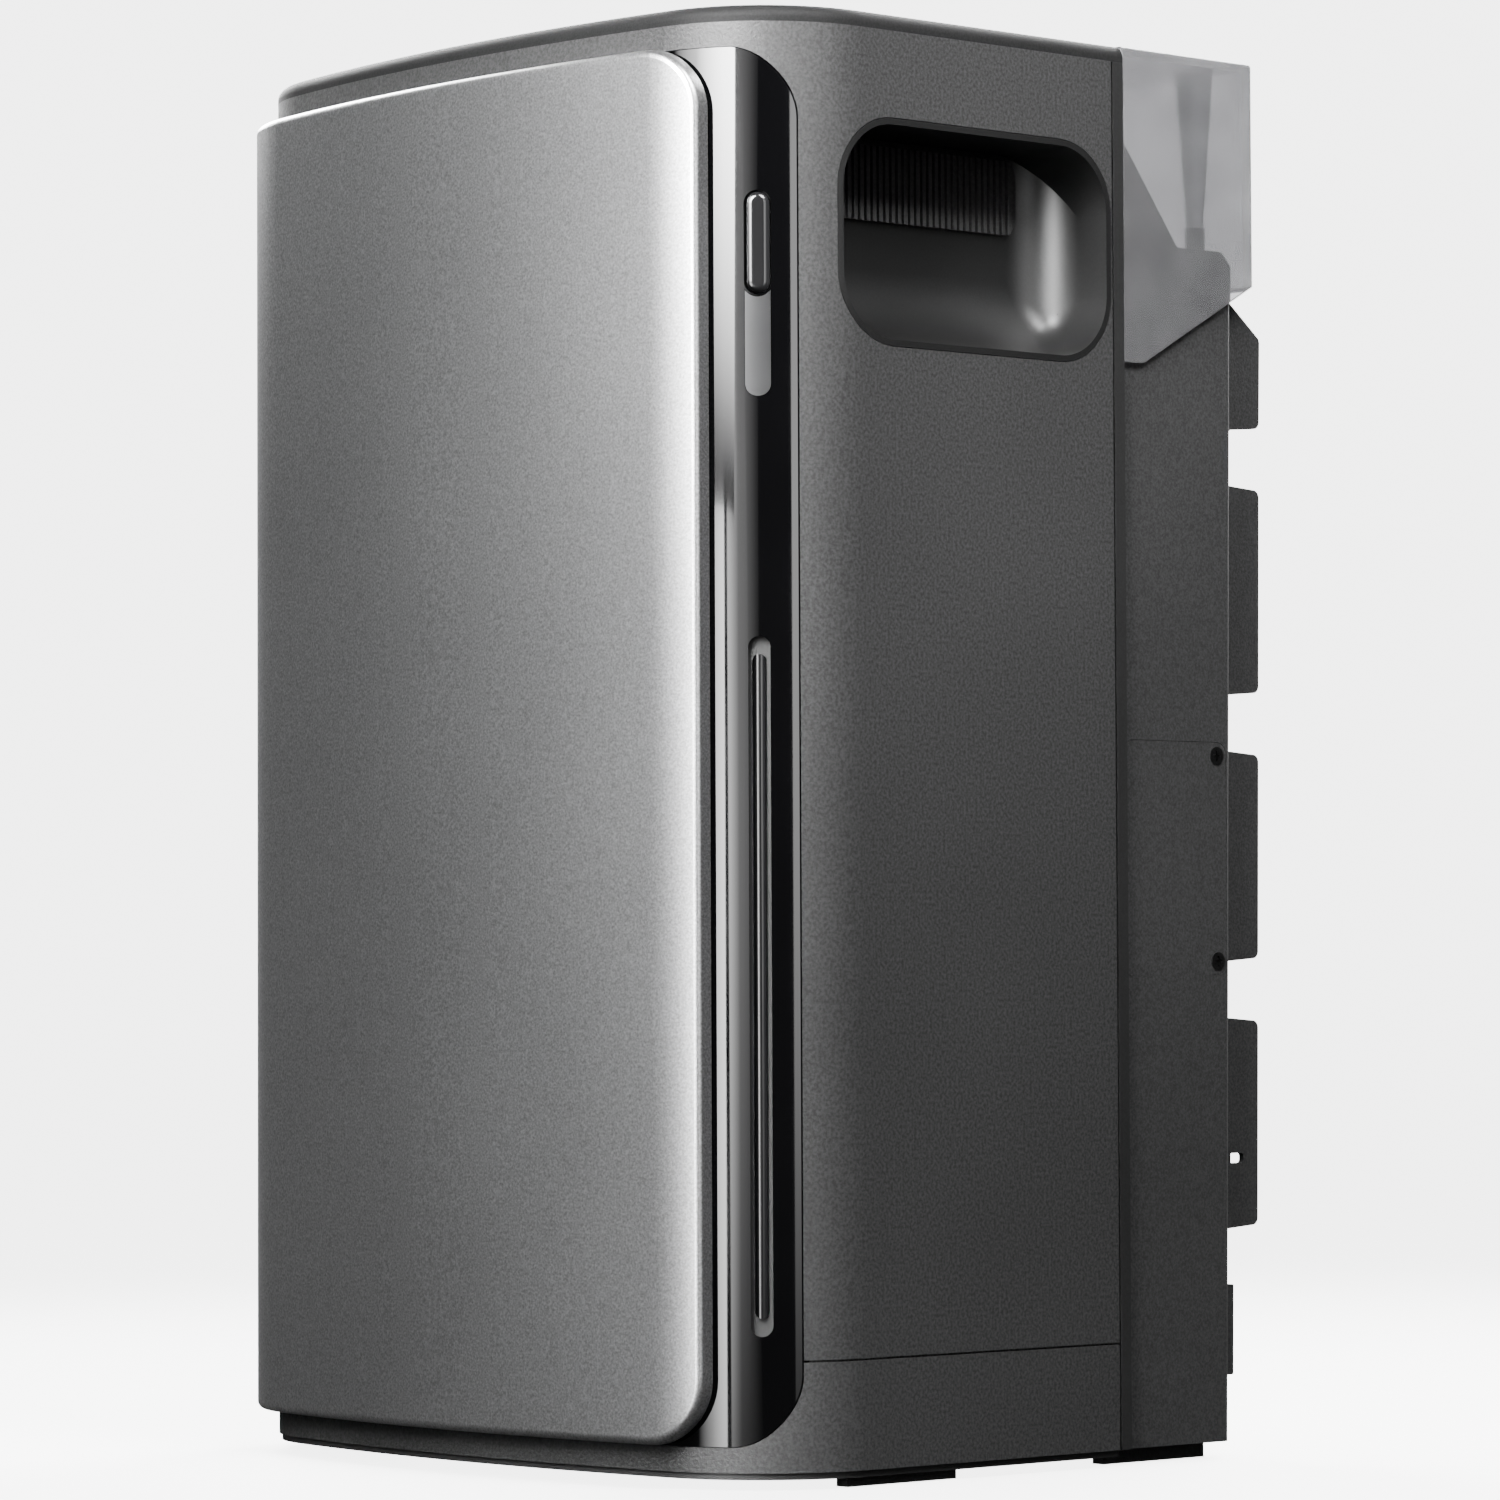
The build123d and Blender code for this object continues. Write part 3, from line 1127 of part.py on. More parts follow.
def make_sockets():
    plate_back = FRAME_BACK + TERMINAL_PLATE
    half = BAY_HALF - BAY_GAP
    plate = block(-half, half, FRAME_BACK, plate_back, SHELF_Z, LID_Z)
    face = plate_back + BEZEL_HEIGHT
    through = TERMINAL_PLATE + 2 * CUT
    for name, side in (("outlet_left", -1), ("outlet_right", 1)):
        x = side * SOCKET_SPACING / 2
        keep(name, make_outlet(x, face))
        plate -= rod(x, FRAME_BACK - CUT, SOCKET_Z, SOCKET_RADIUS + SOCKET_WALL, through, (0, 1, 0))

    barrel = INLET_RADIUS + SOCKET_WALL
    collar = face + INLET_COLLAR
    plate -= rod(0, FRAME_BACK - CUT, SOCKET_Z, barrel, through, (0, 1, 0))
    inlet = rod(0, face, SOCKET_Z, INLET_BEZEL_RADIUS, BEZEL_HEIGHT, (0, -1, 0))
    inlet += rod(0, collar, SOCKET_Z, barrel, INLET_DEPTH + SOCKET_WALL, (0, -1, 0))
    inlet -= rod(0, collar + CUT, SOCKET_Z, INLET_RADIUS, INLET_DEPTH + CUT, (0, -1, 0))
    pins = []
    for index in range(INLET_PINS):
        turn = math.radians(90 + 360 / INLET_PINS * index)
        x = INLET_PIN_CIRCLE * math.cos(turn)
        z = SOCKET_Z + INLET_PIN_CIRCLE * math.sin(turn)
        pin = rod(x, collar - INLET_PIN_INSET, z, INLET_PIN_RADIUS, INLET_DEPTH + SOCKET_WALL, (0, -1, 0))
        inlet -= pin
        pins.append(pin)
    keep("grid_inlet", inlet)
    keep("inlet_pins", *pins)

    screws = []
    outer_x = half - TERMINAL_SCREW_INSET_X
    top = plate_back + TERMINAL_HEAD
    for x in (-outer_x, -TERMINAL_SCREW_X, TERMINAL_SCREW_X, outer_x):
        for z in (SHELF_Z + TERMINAL_SCREW_INSET_Z, LID_Z - TERMINAL_SCREW_INSET_Z):
            head = rod(x, top, z, SCREW_HEAD_RADIUS, TERMINAL_HEAD, (0, -1, 0))
            shank = rod(x, plate_back, z, SCREW_SHANK_RADIUS, TERMINAL_PLATE + FRAME_THICKNESS, (0, -1, 0))
            plate -= shank
            PARTS["mid_frame"] -= shank
            screws.append(head + shank - cross_recess(x, top, z, (0, -1, 0)))
    keep("terminal_plate", plate)
    keep("terminal_screws", *screws)


# --- battery ------------------------------------------------------------------

def tier_bottom(tier):
    return CELL_Z + tier * (CELL_HEIGHT + TIER_GAP)


def make_battery():
    half = STACK_HALF + END_PLATE + BAND_THICKNESS
    keep("battery_tray", block(-half, half, BATTERY_FRONT - BAND_THICKNESS, BATTERY_BACK, FLOOR_Z, CELL_Z))

    cells = []
    bars = []
    middle_y = (BATTERY_FRONT + BATTERY_BACK) / 2
    thin = CELL_THICKNESS / 2
    for tier in range(TIERS):
        z = tier_bottom(tier)
        top = z + CELL_HEIGHT
        for index in range(CELLS_PER_TIER):
            x = -STACK_HALF + (index + 0.5) * CELL_PITCH
            cell = block(x - thin, x + thin, BATTERY_FRONT, BATTERY_BACK, z, top)
            for side in (-1, 1):
                pole_y = middle_y + side * POLE_OFFSET
                cell += rod(x, pole_y, top - CUT, POLE_RADIUS, CUT + POLE_HEIGHT, (0, 0, 1))
            cells.append(cell)
        for index in range(CELLS_PER_TIER - 1):
            side = 1 if index % 2 else -1
            x = -STACK_HALF + (index + 1) * CELL_PITCH
            y = middle_y + side * POLE_OFFSET
            low = top + POLE_HEIGHT
            reach = CELL_PITCH / 2 + POLE_RADIUS
            bars.append(
                block(x - reach, x + reach, y - BUSBAR_HALF, y + BUSBAR_HALF, low, low + BUSBAR_THICKNESS)
            )
    keep("battery_cells", *cells)
    keep("cell_busbars", *bars)

    plates = []
    for side in (-1, 1):
        x0, x1 = sorted((side * STACK_HALF, side * (STACK_HALF + END_PLATE)))
        plates.append(block(x0, x1, BATTERY_FRONT, BATTERY_BACK, CELL_Z, STACK_TOP))
    keep("end_plates", *plates)

    bands = []
    inner_half = half - BAND_THICKNESS
    inner = block(-inner_half, inner_half, BATTERY_FRONT, BATTERY_BACK, 0, HEIGHT)
    for tier in range(TIERS):
        for share in BAND_SHARES:
            low = tier_bottom(tier) + CELL_HEIGHT * share - BAND_WIDTH / 2
            outer = block(
                -half, half, BATTERY_FRONT - BAND_THICKNESS, BATTERY_BACK + BAND_THICKNESS,
                low, low + BAND_WIDTH,
            )
            bands.append(outer - inner)
    keep("compression_bands", *bands)

    top = tier_bottom(1)
    divider = block(-STACK_HALF, STACK_HALF, BATTERY_FRONT, BATTERY_BACK, top - DIVIDER_THICKNESS, top)
    keep("tier_divider", divider)

    z = BATTERY_BOARD_Z
    half = BATTERY_BOARD_HALF
    front = BATTERY_FRONT + BATTERY_BOARD_FRONT
    keep("battery_board", block(-half, half, front, BATTERY_FRONT + BATTERY_BOARD_BACK, z, z + PCB_THICKNESS))
    props = []
    prop_x = half - PROP_INSET
    prop_y = POLE_OFFSET - BUSBAR_HALF - PROP_RADIUS - PROP_GAP
    for x in (-prop_x, prop_x):
        for y in (middle_y - prop_y, middle_y + prop_y):
            props.append(rod(x, y, STACK_TOP, PROP_RADIUS, z - STACK_TOP, (0, 0, 1)))
    keep("board_standoffs", *props)
    fuse_front = BATTERY_FRONT + FUSE_FROM_FRONT - FUSE_LENGTH / 2
    fuse_z = z + PCB_THICKNESS + FUSE_RADIUS
    keep("main_fuse", rod(FUSE_X, fuse_front, fuse_z, FUSE_RADIUS, FUSE_LENGTH, (0, 1, 0)))


# --- power electronics in the rear housing ------------------------------------

def make_electronics():
    half = OPENING_HALF - BOARD_INSET
    low = FLOOR_Z + BOARD_RISE
    high = SHELF_Z - BOARD_DROP
    board_back = PCB_Y + PCB_THICKNESS
    keep("inverter_board", block(-half, half, PCB_Y, board_back, low, high))

    def pad_back(z):
        return housing_back(z) - HOUSING_WALL

    def pad_front(z):
        return pad_back(z) - PAD_THICKNESS

    z0 = low + MODULE_RISE
    z1 = z0 + PAD_HEIGHT
    pad_profile = [(pad_front(z0), z0), (pad_back(z0), z0), (pad_back(z1), z1), (pad_front(z1), z1)]
    keep("thermal_pad", across(pad_profile, PAD_INSET - half, half - PAD_INSET))
    modules = []
    reach = half - MODULE_INSET
    pitch = 2 * reach / (MODULE_COUNT - 1)
    m0, m1 = z0 + MODULE_LOW, z0 + MODULE_HIGH
    profile = [(board_back, m0), (pad_front(m0), m0), (pad_front(m1), m1), (board_back, m1)]
    for index in range(MODULE_COUNT):
        x = index * pitch - reach
        modules.append(across(profile, x - MODULE_HALF_WIDTH, x + MODULE_HALF_WIDTH))
    keep("power_modules", *modules)

    capacitors = []
    spacing = 2 * CAPACITOR_RADIUS + CAPACITOR_GAP
    for index in range(CAPACITOR_COUNT):
        x = (index - (CAPACITOR_COUNT - 1) / 2) * spacing
        z = BATTERY_TOP + CAPACITOR_RISE
        capacitors.append(rod(x, PCB_Y, z, CAPACITOR_RADIUS, CAPACITOR_LENGTH, (0, -1, 0)))
    keep("bus_capacitors", *capacitors)

    chokes = []
    side_x = half - CHOKE_RADIUS - CHOKE_INSET
    for index in range(CHOKE_COUNT):
        z = low + CHOKE_RISE + index * (2 * CHOKE_RADIUS + CHOKE_GAP)
        ring = rod(side_x, PCB_Y, z, CHOKE_RADIUS, CHOKE_LENGTH, (0, -1, 0))
        ring -= rod(side_x, PCB_Y + CUT, z, CHOKE_BORE, CHOKE_LENGTH + 2 * CUT, (0, -1, 0))
        chokes.append(ring)
    keep("filter_chokes", *chokes)

    core_x0 = CORE_INSET - half
    core_x1 = core_x0 + CORE_WIDTH
    core_low = low + CORE_RISE
    core_high = core_low + CORE_HEIGHT
    core = block(core_x0, core_x1, PCB_Y - CORE_DEPTH, PCB_Y, core_low, core_high)
    window_front = PCB_Y - CORE_DEPTH + CORE_LEG
    window_back = PCB_Y - CORE_LEG
    window_low, window_high = core_low + CORE_YOKE, core_high - CORE_YOKE
    core -= block(core_x0 - CUT, core_x1 + CUT, window_front, window_back, window_low, window_high)
    keep("transformer_core", core)
    winding_x0, winding_x1 = core_x0 + WINDING_INSET, core_x1 - WINDING_INSET
    winding = block(winding_x0, winding_x1, window_front, window_back, window_low, window_high)
    keep("transformer_winding", winding)

    props = []
    prop_x = half - STANDOFF_INSET_X
    reach = pad_back(low) - board_back
    for x in (-prop_x, prop_x):
        for z in (low + STANDOFF_INSET_Z, (low + high) / 2, high - STANDOFF_INSET_Z):
            props.append(rod(x, board_back, z, STANDOFF_RADIUS, reach, (0, 1, 0)))
    keep("inverter_standoffs", *props)

    lug_z = BATTERY_BOARD_Z + PCB_THICKNESS
    rails = []
    front = BATTERY_FRONT + RAIL_FROM_FRONT
    for x in RAIL_PLACES:
        rails.append(block(x - RAIL_HALF, x + RAIL_HALF, front, PCB_Y, lug_z, lug_z + RAIL_THICKNESS))
    keep("power_rails", *rails)

    radio_z = LID_Z - RADIO_DROP
    radio_back = RADIO_Y + RADIO_LENGTH
    keep("radio_board", block(-RADIO_X, RADIO_X, RADIO_Y, radio_back, radio_z - RADIO_THICKNESS, radio_z))


make_shells()
make_handles()
make_front()
make_controls()
make_frame()
make_housing()
make_fins()
make_housing_covers()
make_connector_cover()
make_sockets()
make_battery()
make_electronics()

os.makedirs("parts", exist_ok=True)
for name, shape in PARTS.items():
    export_step(shape, f"parts/{name}.step")
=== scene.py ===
import json
import math

import bpy
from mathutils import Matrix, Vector

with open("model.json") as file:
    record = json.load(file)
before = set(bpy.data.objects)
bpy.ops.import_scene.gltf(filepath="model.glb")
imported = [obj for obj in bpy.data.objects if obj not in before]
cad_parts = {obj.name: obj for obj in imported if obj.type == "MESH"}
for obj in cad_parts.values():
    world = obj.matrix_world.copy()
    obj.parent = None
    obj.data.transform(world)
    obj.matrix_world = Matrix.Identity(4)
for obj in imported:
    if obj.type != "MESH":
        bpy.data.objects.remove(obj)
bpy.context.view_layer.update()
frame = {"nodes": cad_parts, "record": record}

# ---------------------------------------------------------------- camera
IMAGE_WIDTH = 1500
FOCAL = 5914.0              # in widths of one image point
SENSOR = 36.0
CAMERA_AT = (1.48404, -1.29821, 0.15694)
CAMERA_YAW = 48.59
CAMERA_PITCH = 2.39
CAMERA_ROLL = 0.25
CENTRE = (755.3, 730.9)     # image point on the lens axis
CLIP_NEAR = 0.05
CLIP_FAR = 60.0


def add_camera():
    data = bpy.data.cameras.new("view_camera")
    data.sensor_width = SENSOR
    data.lens = FOCAL / IMAGE_WIDTH * SENSOR
    data.shift_x = (IMAGE_WIDTH / 2 - CENTRE[0]) / IMAGE_WIDTH
    data.shift_y = (CENTRE[1] - IMAGE_WIDTH / 2) / IMAGE_WIDTH
    data.clip_start = CLIP_NEAR
    data.clip_end = CLIP_FAR
    camera = bpy.data.objects.new("view_camera", data)
    camera.location = CAMERA_AT
    camera.rotation_euler = (
        math.radians(90 + CAMERA_PITCH), math.radians(CAMERA_ROLL), math.radians(CAMERA_YAW)
    )
    bpy.context.scene.collection.objects.link(camera)
    bpy.context.scene.camera = camera


add_camera()


# ---------------------------------------------------------------- materials
NOISE_LOW = 0.3             # nearly all noise values lie between these two
NOISE_HIGH = 0.7


class Nodes:
    """Small helper that builds one node material."""

    def __init__(self, name):
        self.material = bpy.data.materials.new(name)
        self.material.use_nodes = True
        self.tree = self.material.node_tree
        self.shader = self.tree.nodes["Principled BSDF"]
        coords = self.tree.nodes.new("ShaderNodeTexCoord")
        self.place = coords.outputs["Object"]

    def link(self, source, target):
        self.tree.links.new(source, target)

    def noise(self, scale, detail=2.0, roughness=0.5, stretch=None):
        node = self.tree.nodes.new("ShaderNodeTexNoise")
        node.inputs["Scale"].default_value = scale
        node.inputs["Detail"].default_value = detail
        node.inputs["Roughness"].default_value = roughness
        if stretch:
            mapping = self.tree.nodes.new("ShaderNodeMapping")
            mapping.inputs["Scale"].default_value = stretch
            self.link(self.place, mapping.inputs["Vector"])
            self.link(mapping.outputs["Vector"], node.inputs["Vector"])
        else:
            self.link(self.place, node.inputs["Vector"])
        return node.outputs["Fac"]

    def ramp(self, value, stops):
        node = self.tree.nodes.new("ShaderNodeValToRGB")
        elements = node.color_ramp.elements
        while len(elements) < len(stops):
            elements.new(0.5)
        for element, (position, color) in zip(elements, stops):
            element.position = position
            element.color = (*color, 1.0) if len(color) == 3 else color
        self.link(value, node.inputs["Fac"])
        return node.outputs["Color"]

    def spread(self, value, low, high):
        node = self.tree.nodes.new("ShaderNodeMapRange")
        node.inputs["From Min"].default_value = NOISE_LOW
        node.inputs["From Max"].default_value = NOISE_HIGH
        node.inputs["To Min"].default_value = low
        node.inputs["To Max"].default_value = high
        self.link(value, node.inputs["Value"])
        return node.outputs["Result"]

    def bump(self, value, distance, strength=1.0):
        node = self.tree.nodes.new("ShaderNodeBump")
        node.inputs["Distance"].default_value = distance
        node.inputs["Strength"].default_value = strength
        self.link(value, node.inputs["Height"])
        return node.outputs["Normal"]

    def set(self, **values):
        for key, value in values.items():
            self.shader.inputs[key.replace("_", " ")].default_value = value

    def finish(self, color=None, roughness=None, normal=None):
        if color:
            self.link(color, self.shader.inputs["Base Color"])
        if roughness:
            self.link(roughness, self.shader.inputs["Roughness"])
        if normal:
            self.link(normal, self.shader.inputs["Normal"])
        return self.material


def grey(value):
    return (value, value, value * 1.01)


def blasted_metal(name, low, high, rough, grain=1900.0, depth=0.00003):
    """Bead-blasted, anodised or plated metal with a fine grain."""
    m = Nodes(name)
    m.set(Metallic=1.0)
    fine = m.noise(grain, 3.0, 0.6)
    broad = m.noise(14.0, 2.0)
    color = m.ramp(fine, [(0.3, low), (0.7, high)])
    rough_value = m.spread(broad, rough - 0.004, rough + 0.006)
    return m.finish(color, rough_value, m.bump(fine, depth, 0.5))


def moulded(name, low, high, rough, grain=1000.0, depth=0.00006, strength=0.8, specular=0.5):
    """Injection moulded plastic with a spark-eroded texture."""
    m = Nodes(name)
    m.set(**{"Specular_IOR_Level": specular})
    grains = m.noise(grain, 3.0, 0.55)
    broad = m.noise(9.0, 2.0)
    color = m.ramp(grains, [(0.35, low), (0.68, high)])
    rough_value = m.spread(broad, rough - 0.03, rough + 0.04)
    return m.finish(color, rough_value, m.bump(grains, depth, strength))


def polished(name, color, rough, coat=0.0, haze=26.0):
    """Gloss plastic with a faint unevenness in its shine."""
    m = Nodes(name)
    m.set(Coat_Weight=coat, Coat_Roughness=0.03)
    wave = m.noise(haze, 2.0)
    tone = m.ramp(wave, [(0.3, tuple(0.85 * c for c in color)), (0.7, color)])
    return m.finish(tone, m.spread(wave, rough, rough + 0.03), m.bump(wave, 0.0002, 0.05))


def smoked(name):
    """Translucent smoky polycarbonate."""
    m = Nodes(name)
    m.set(IOR=1.3, Transmission_Weight=0.82, Specular_IOR_Level=0.45)
    wave = m.noise(60.0, 2.0)
    tone = m.ramp(wave, [(0.3, (0.36, 0.36, 0.37)), (0.7, (0.41, 0.41, 0.42))])
    return m.finish(tone, m.spread(wave, 0.2, 0.26), m.bump(m.noise(900.0), 0.00002, 0.3))


def circuit(name):
    """Solder mask with traces showing through."""
    m = Nodes(name)
    lines = m.noise(180.0, 0.0, 0.5, (1.0, 0.15, 0.15))
    tone = m.ramp(lines, [(0.46, (0.01, 0.07, 0.03)), (0.5, (0.02, 0.16, 0.07))])
    return m.finish(tone, m.spread(m.noise(60.0), 0.25, 0.35), m.bump(lines, 0.00004, 0.4))


def wound(name):
    """Enamelled copper turns."""
    m = Nodes(name)
    m.set(Metallic=0.9)
    turns = m.noise(400.0, 0.0, 0.5, (0.15, 1.0, 0.15))
    tone = m.ramp(turns, [(0.4, (0.25, 0.09, 0.03)), (0.6, (0.62, 0.28, 0.12))])
    return m.finish(tone, m.spread(m.noise(90.0), 0.28, 0.38), m.bump(turns, 0.0001, 0.7))


FINISHES = {
    "silver_panel": blasted_metal("silver_panel", grey(0.38), grey(0.78), 0.31, 1300.0, 0.00006),
    "dark_casing": moulded("dark_casing", grey(0.014), grey(0.055), 0.5, 1000.0, 0.00016, 1.0),
    "lid_plastic": moulded("lid_plastic", grey(0.014), grey(0.022), 0.6, 1500.0, 0.00004, 0.6, 0.12),
    "black_plastic": moulded("black_plastic", grey(0.008), grey(0.014), 0.5, 1300.0, 0.00003, 0.5),
    "gloss_black": polished("gloss_black", (0.006, 0.006, 0.007), 0.05, 0.6),
    "diffuser": polished("diffuser", (0.03, 0.03, 0.032), 0.12, 0.6),
    # Handle cups: black plastic, made darker still with painted shade that stands in for the shade
    # inside their deep recesses
    "cup_black_painted_shade": moulded("cup_black_painted_shade", grey(0.004), grey(0.009), 0.42, 1400.0, 0.00003, 0.5),
    "smoke_cover": smoked("smoke_cover"),
    "cast_housing": moulded("cast_housing", grey(0.014), grey(0.042), 0.55, 1200.0, 0.00012, 0.9),
    "soft_rubber": moulded("soft_rubber", grey(0.05), grey(0.07), 0.7, 1100.0, 0.00003, 0.5, 0.3),
    "steel": blasted_metal("steel", grey(0.3), grey(0.42), 0.3, 900.0, 0.00002),
    "cell_wrap": polished("cell_wrap", (0.02, 0.08, 0.3), 0.3, 0.2),
    "copper_bar": blasted_metal("copper_bar", (0.5, 0.26, 0.12), (0.7, 0.4, 0.2), 0.3, 700.0),
    "board_green": circuit("board_green"),
    "sheet_aluminium": blasted_metal("sheet_aluminium", grey(0.45), grey(0.6), 0.34, 600.0),
    "ferrite": moulded("ferrite", grey(0.03), grey(0.05), 0.6, 500.0),
    "copper_winding": wound("copper_winding"),
    "pale_plastic": moulded("pale_plastic", grey(0.4), grey(0.46), 0.4, 900.0, 0.00002, 0.4),
    "key_black": polished("key_black", (0.035, 0.035, 0.037), 0.12, 0.8),
    "tag_black": polished("tag_black", (0.05, 0.05, 0.052), 0.3, 0.2),
    "screw_black": blasted_metal("screw_black", grey(0.03), grey(0.05), 0.4, 900.0, 0.00002),
}

SPECIAL = {
    "power_button": "key_black",
    "button_tag": "tag_black",
    "service_cover_screws": "screw_black",
    "lower_cover_screws": "screw_black",
    "service_cover": "cast_housing",
    "lower_rear_cover": "cast_housing",
    # the handle cups take the black plastic with painted shade for their recesses
    "handle_cup_left": "cup_black_painted_shade",
    "handle_cup_right": "cup_black_painted_shade",
}

slot_of = {part["node"]: part["material_slot"] for part in frame["record"]["subparts"]}
for node, obj in frame["nodes"].items():
    finish = FINISHES[SPECIAL.get(node, slot_of[node])]
    if not obj.data.materials:
        obj.data.materials.append(finish)
    for index in range(len(obj.data.materials)):
        obj.data.materials[index] = finish


# ---------------------------------------------------------------- floor and light
WORLD_FILL = 0.035          # what the object gets from the surroundings
BACKDROP = 5.0              # what the camera sees behind the floor
FLOOR_GLOW = 4.8
FLOOR_REACH = 14.0          # metres to each side and towards the camera
WALL_TOP = 5.0
WALL_AT = 4.5               # where the floor starts to bend up
BEND_RADIUS = 1.6
BEND_STEPS = 14
FADE_LOW = 0.2              # a softbox fades below this share of its half height under the middle
FADE_HIGH = 0.6             # and above this share over it


def add_floor():
    """Pale glowing sweep, hidden from reflections and from bounced light."""
    mesh = bpy.data.meshes.new("floor")
    rows = [(-FLOOR_REACH, 0.0)]
    for step in range(BEND_STEPS + 1):
        turn = math.pi / 2 * step / BEND_STEPS
        reach = WALL_AT + BEND_RADIUS * math.sin(turn)
        rows.append((reach, BEND_RADIUS - BEND_RADIUS * math.cos(turn)))
    rows.append((WALL_AT + BEND_RADIUS, WALL_TOP))
    away = Vector((-math.sin(math.radians(CAMERA_YAW)), math.cos(math.radians(CAMERA_YAW)), 0.0))
    side = Vector((away.y, -away.x, 0.0))
    points = []
    faces = []
    for reach, height in rows:
        for across in (-FLOOR_REACH, FLOOR_REACH):
            points.append(tuple(away * reach + side * across + Vector((0, 0, height))))
    for index in range(len(rows) - 1):
        start = index * 2
        faces.append((start, start + 1, start + 3, start + 2))
    mesh.from_pydata(points, [], faces)
    mesh.update()
    for polygon in mesh.polygons:
        polygon.use_smooth = True
    floor = bpy.data.objects.new("floor", mesh)
    bpy.context.scene.collection.objects.link(floor)
    m = Nodes("pale_floor")
    soft = m.noise(3.0, 2.0)
    tone = m.ramp(soft, [(0.3, (0.86, 0.86, 0.86)), (0.7, (0.89, 0.89, 0.89))])
    m.set(Specular_IOR_Level=0.2, Emission_Color=(1.0, 1.0, 1.0, 1.0), Emission_Strength=FLOOR_GLOW)
    floor.visible_diffuse = False
    floor.visible_glossy = False
    ripple = m.bump(m.noise(300.0), 0.0001, 0.1)
    floor.data.materials.append(m.finish(tone, m.spread(soft, 0.7, 0.75), ripple))


def aim_at(obj, azimuth, elevation, distance, target):
    """Place obj round the target; azimuth 0 is straight in front, positive to the right."""
    a, e = math.radians(azimuth), math.radians(elevation)
    target = Vector(target)
    obj.location = target + distance * Vector((
        math.sin(a) * math.cos(e), -math.cos(a) * math.cos(e), math.sin(e)
    ))
    obj.rotation_euler = (target - obj.location).to_track_quat("-Z", "Y").to_euler()


def add_lamp(name, azimuth, elevation, distance, width, height, power, target, spread=180.0):
    data = bpy.data.lights.new(name, "AREA")
    data.shape = "RECTANGLE"
    data.size = width
    data.size_y = height
    data.energy = power
    data.spread = math.radians(spread)
    obj = bpy.data.objects.new(name, data)
    aim_at(obj, azimuth, elevation, distance, target)
    obj.visible_transmission = False
    bpy.context.scene.collection.objects.link(obj)


def add_softbox(name, azimuth, elevation, distance, width, height, glow, target=(0, 0, 0.23)):
    """Soft panel of light; glow lists (share of the width from its left, brightness)."""
    mesh = bpy.data.meshes.new(name)
    x, y = width / 2, height / 2
    mesh.from_pydata([(-x, -y, 0), (x, -y, 0), (x, y, 0), (-x, y, 0)], [], [(0, 1, 2, 3)])
    mesh.update()
    obj = bpy.data.objects.new(name, mesh)
    aim_at(obj, azimuth, elevation, distance, target)
    bpy.context.scene.collection.objects.link(obj)
    obj.visible_camera = False
    obj.visible_diffuse = False
    material = bpy.data.materials.new(name)
    material.use_nodes = True
    tree = material.node_tree
    tree.nodes.remove(tree.nodes["Principled BSDF"])
    coords = tree.nodes.new("ShaderNodeTexCoord")
    split = tree.nodes.new("ShaderNodeSeparateXYZ")
    tree.links.new(coords.outputs["Object"], split.inputs[0])

    def range_of(source, low, high):
        node = tree.nodes.new("ShaderNodeMapRange")
        node.interpolation_type = "SMOOTHSTEP"
        node.inputs["From Min"].default_value = low
        node.inputs["From Max"].default_value = high
        tree.links.new(source, node.inputs["Value"])
        return node.outputs["Result"]

    def times(first, second):
        node = tree.nodes.new("ShaderNodeMath")
        node.operation = "MULTIPLY"
        for index, value in enumerate((first, second)):
            if isinstance(value, float):
                node.inputs[index].default_value = value
            else:
                tree.links.new(value, node.inputs[index])
        return node.outputs[0]

    along = tree.nodes.new("ShaderNodeMapRange")
    along.inputs["From Min"].default_value = -x
    along.inputs["From Max"].default_value = x
    tree.links.new(split.outputs["X"], along.inputs["Value"])
    ramp = tree.nodes.new("ShaderNodeValToRGB")
    top = max(value for _, value in glow)
    elements = ramp.color_ramp.elements
    while len(elements) < len(glow):
        elements.new(0.5)
    for element, (share, value) in zip(elements, glow):
        element.position = share
        level = value / top
        element.color = (level, level, level, 1.0)
    tree.links.new(along.outputs["Result"], ramp.inputs["Fac"])
    up = split.outputs["Y"]
    fade = times(range_of(up, -y, -FADE_LOW * y), range_of(up, y, FADE_HIGH * y))
    emission = tree.nodes.new("ShaderNodeEmission")
    tree.links.new(times(times(ramp.outputs["Color"], fade), float(top)), emission.inputs["Strength"])
    tree.links.new(emission.outputs[0], tree.nodes["Material Output"].inputs["Surface"])
    mesh.materials.append(material)


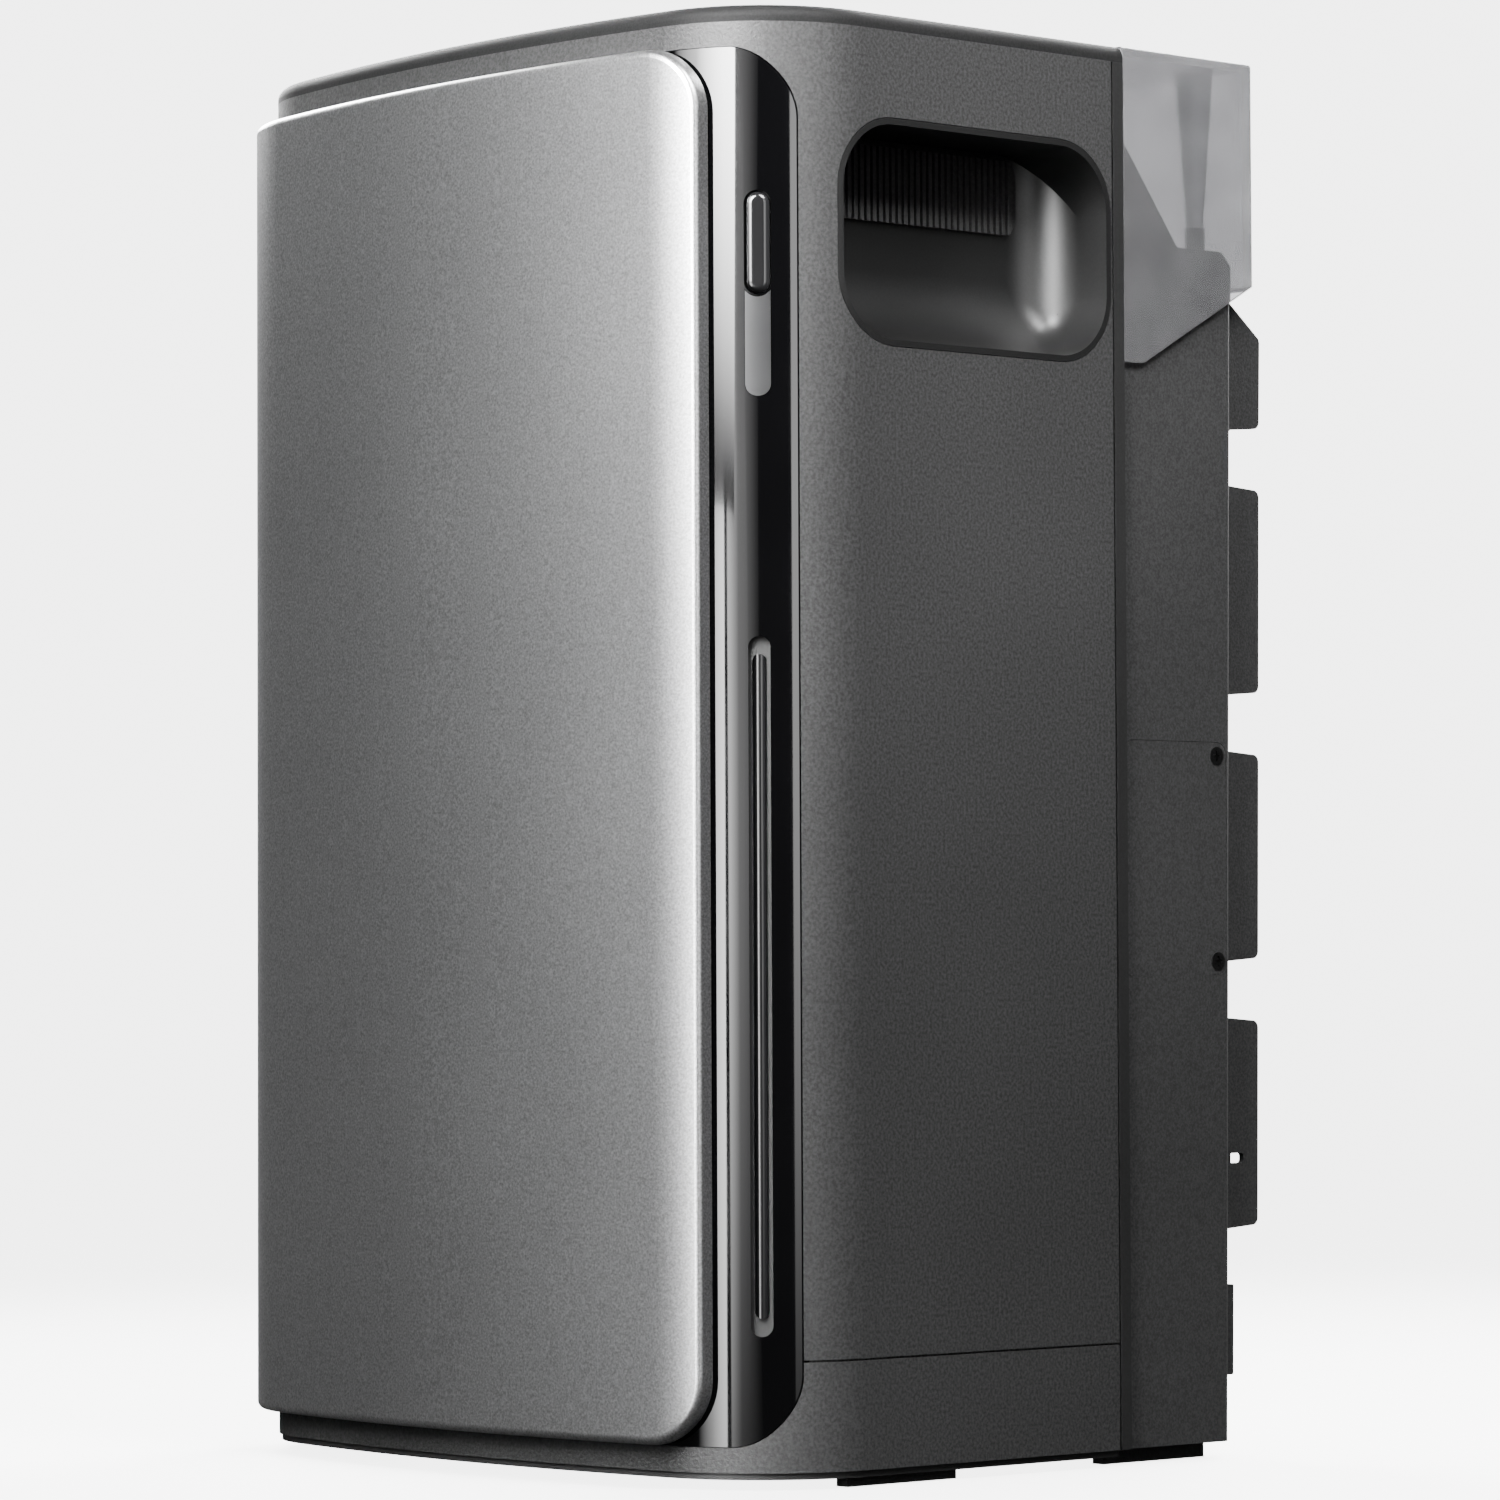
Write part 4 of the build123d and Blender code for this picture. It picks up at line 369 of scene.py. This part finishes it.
def add_world():
    """Dim surroundings that the camera itself sees as a pale backdrop."""
    world = bpy.data.worlds.new("studio")
    world.use_nodes = True
    tree = world.node_tree
    dim = tree.nodes["Background"]
    dim.inputs["Color"].default_value = (1.0, 1.0, 1.0, 1.0)
    dim.inputs["Strength"].default_value = WORLD_FILL
    pale = tree.nodes.new("ShaderNodeBackground")
    pale.inputs["Color"].default_value = (1.0, 1.0, 1.0, 1.0)
    pale.inputs["Strength"].default_value = BACKDROP
    path = tree.nodes.new("ShaderNodeLightPath")
    mix = tree.nodes.new("ShaderNodeMixShader")
    tree.links.new(path.outputs["Is Camera Ray"], mix.inputs["Fac"])
    tree.links.new(dim.outputs[0], mix.inputs[1])
    tree.links.new(pale.outputs[0], mix.inputs[2])
    tree.links.new(mix.outputs[0], tree.nodes["World Output"].inputs["Surface"])
    bpy.context.scene.world = world


add_floor()
add_world()

# name, azimuth, elevation, distance, width, height, glow; these show only in reflections
SOFTBOXES = [
    ("front_softbox", 8.0, 30.0, 1.2, 1.0, 1.0,
     [(0.0, 0.5), (0.4, 24.0), (0.8, 125.0), (1.0, 140.0)]),
    ("low_softbox", 10.0, 4.0, 1.6, 0.6, 1.5,
     [(0.0, 0.3), (0.5, 9.0), (1.0, 24.0)]),
    ("corner_softbox", 34.0, 8.0, 1.7, 0.7, 1.6,
     [(0.0, 11.0), (0.4, 2.5), (0.94, 0.4), (1.0, 0.3)]),
    ("edge_softbox", 72.0, 10.0, 1.9, 0.22, 1.6,
     [(0.0, 5.0), (1.0, 5.0)]),
    ("side_softbox", 86.0, 12.0, 1.9, 0.8, 1.6,
     [(0.0, 1.9), (0.9, 2.1), (1.0, 1.2)]),
    ("back_softbox", 190.0, 14.0, 1.8, 1.6, 1.4,
     [(0.0, 1.4), (0.5, 2.6), (1.0, 1.6)]),
]
# name, azimuth, elevation, distance, width, height, power, target, spread; these light the object
LAMPS = [
    ("side_lamp", 78.0, 46.0, 0.9, 0.4, 0.4, 8.0, (0.1, 0.0, 0.4), 110.0),
    ("back_lamp", 196.0, 34.0, 1.4, 0.9, 0.9, 20.0, (0.0, 0.1, 0.25), 90.0),
    ("left_lamp", 258.0, 34.0, 1.4, 0.7, 0.7, 14.0, (-0.1, 0.0, 0.25), 80.0),
]
for softbox in SOFTBOXES:
    add_softbox(*softbox)
for lamp in LAMPS:
    add_lamp(*lamp)
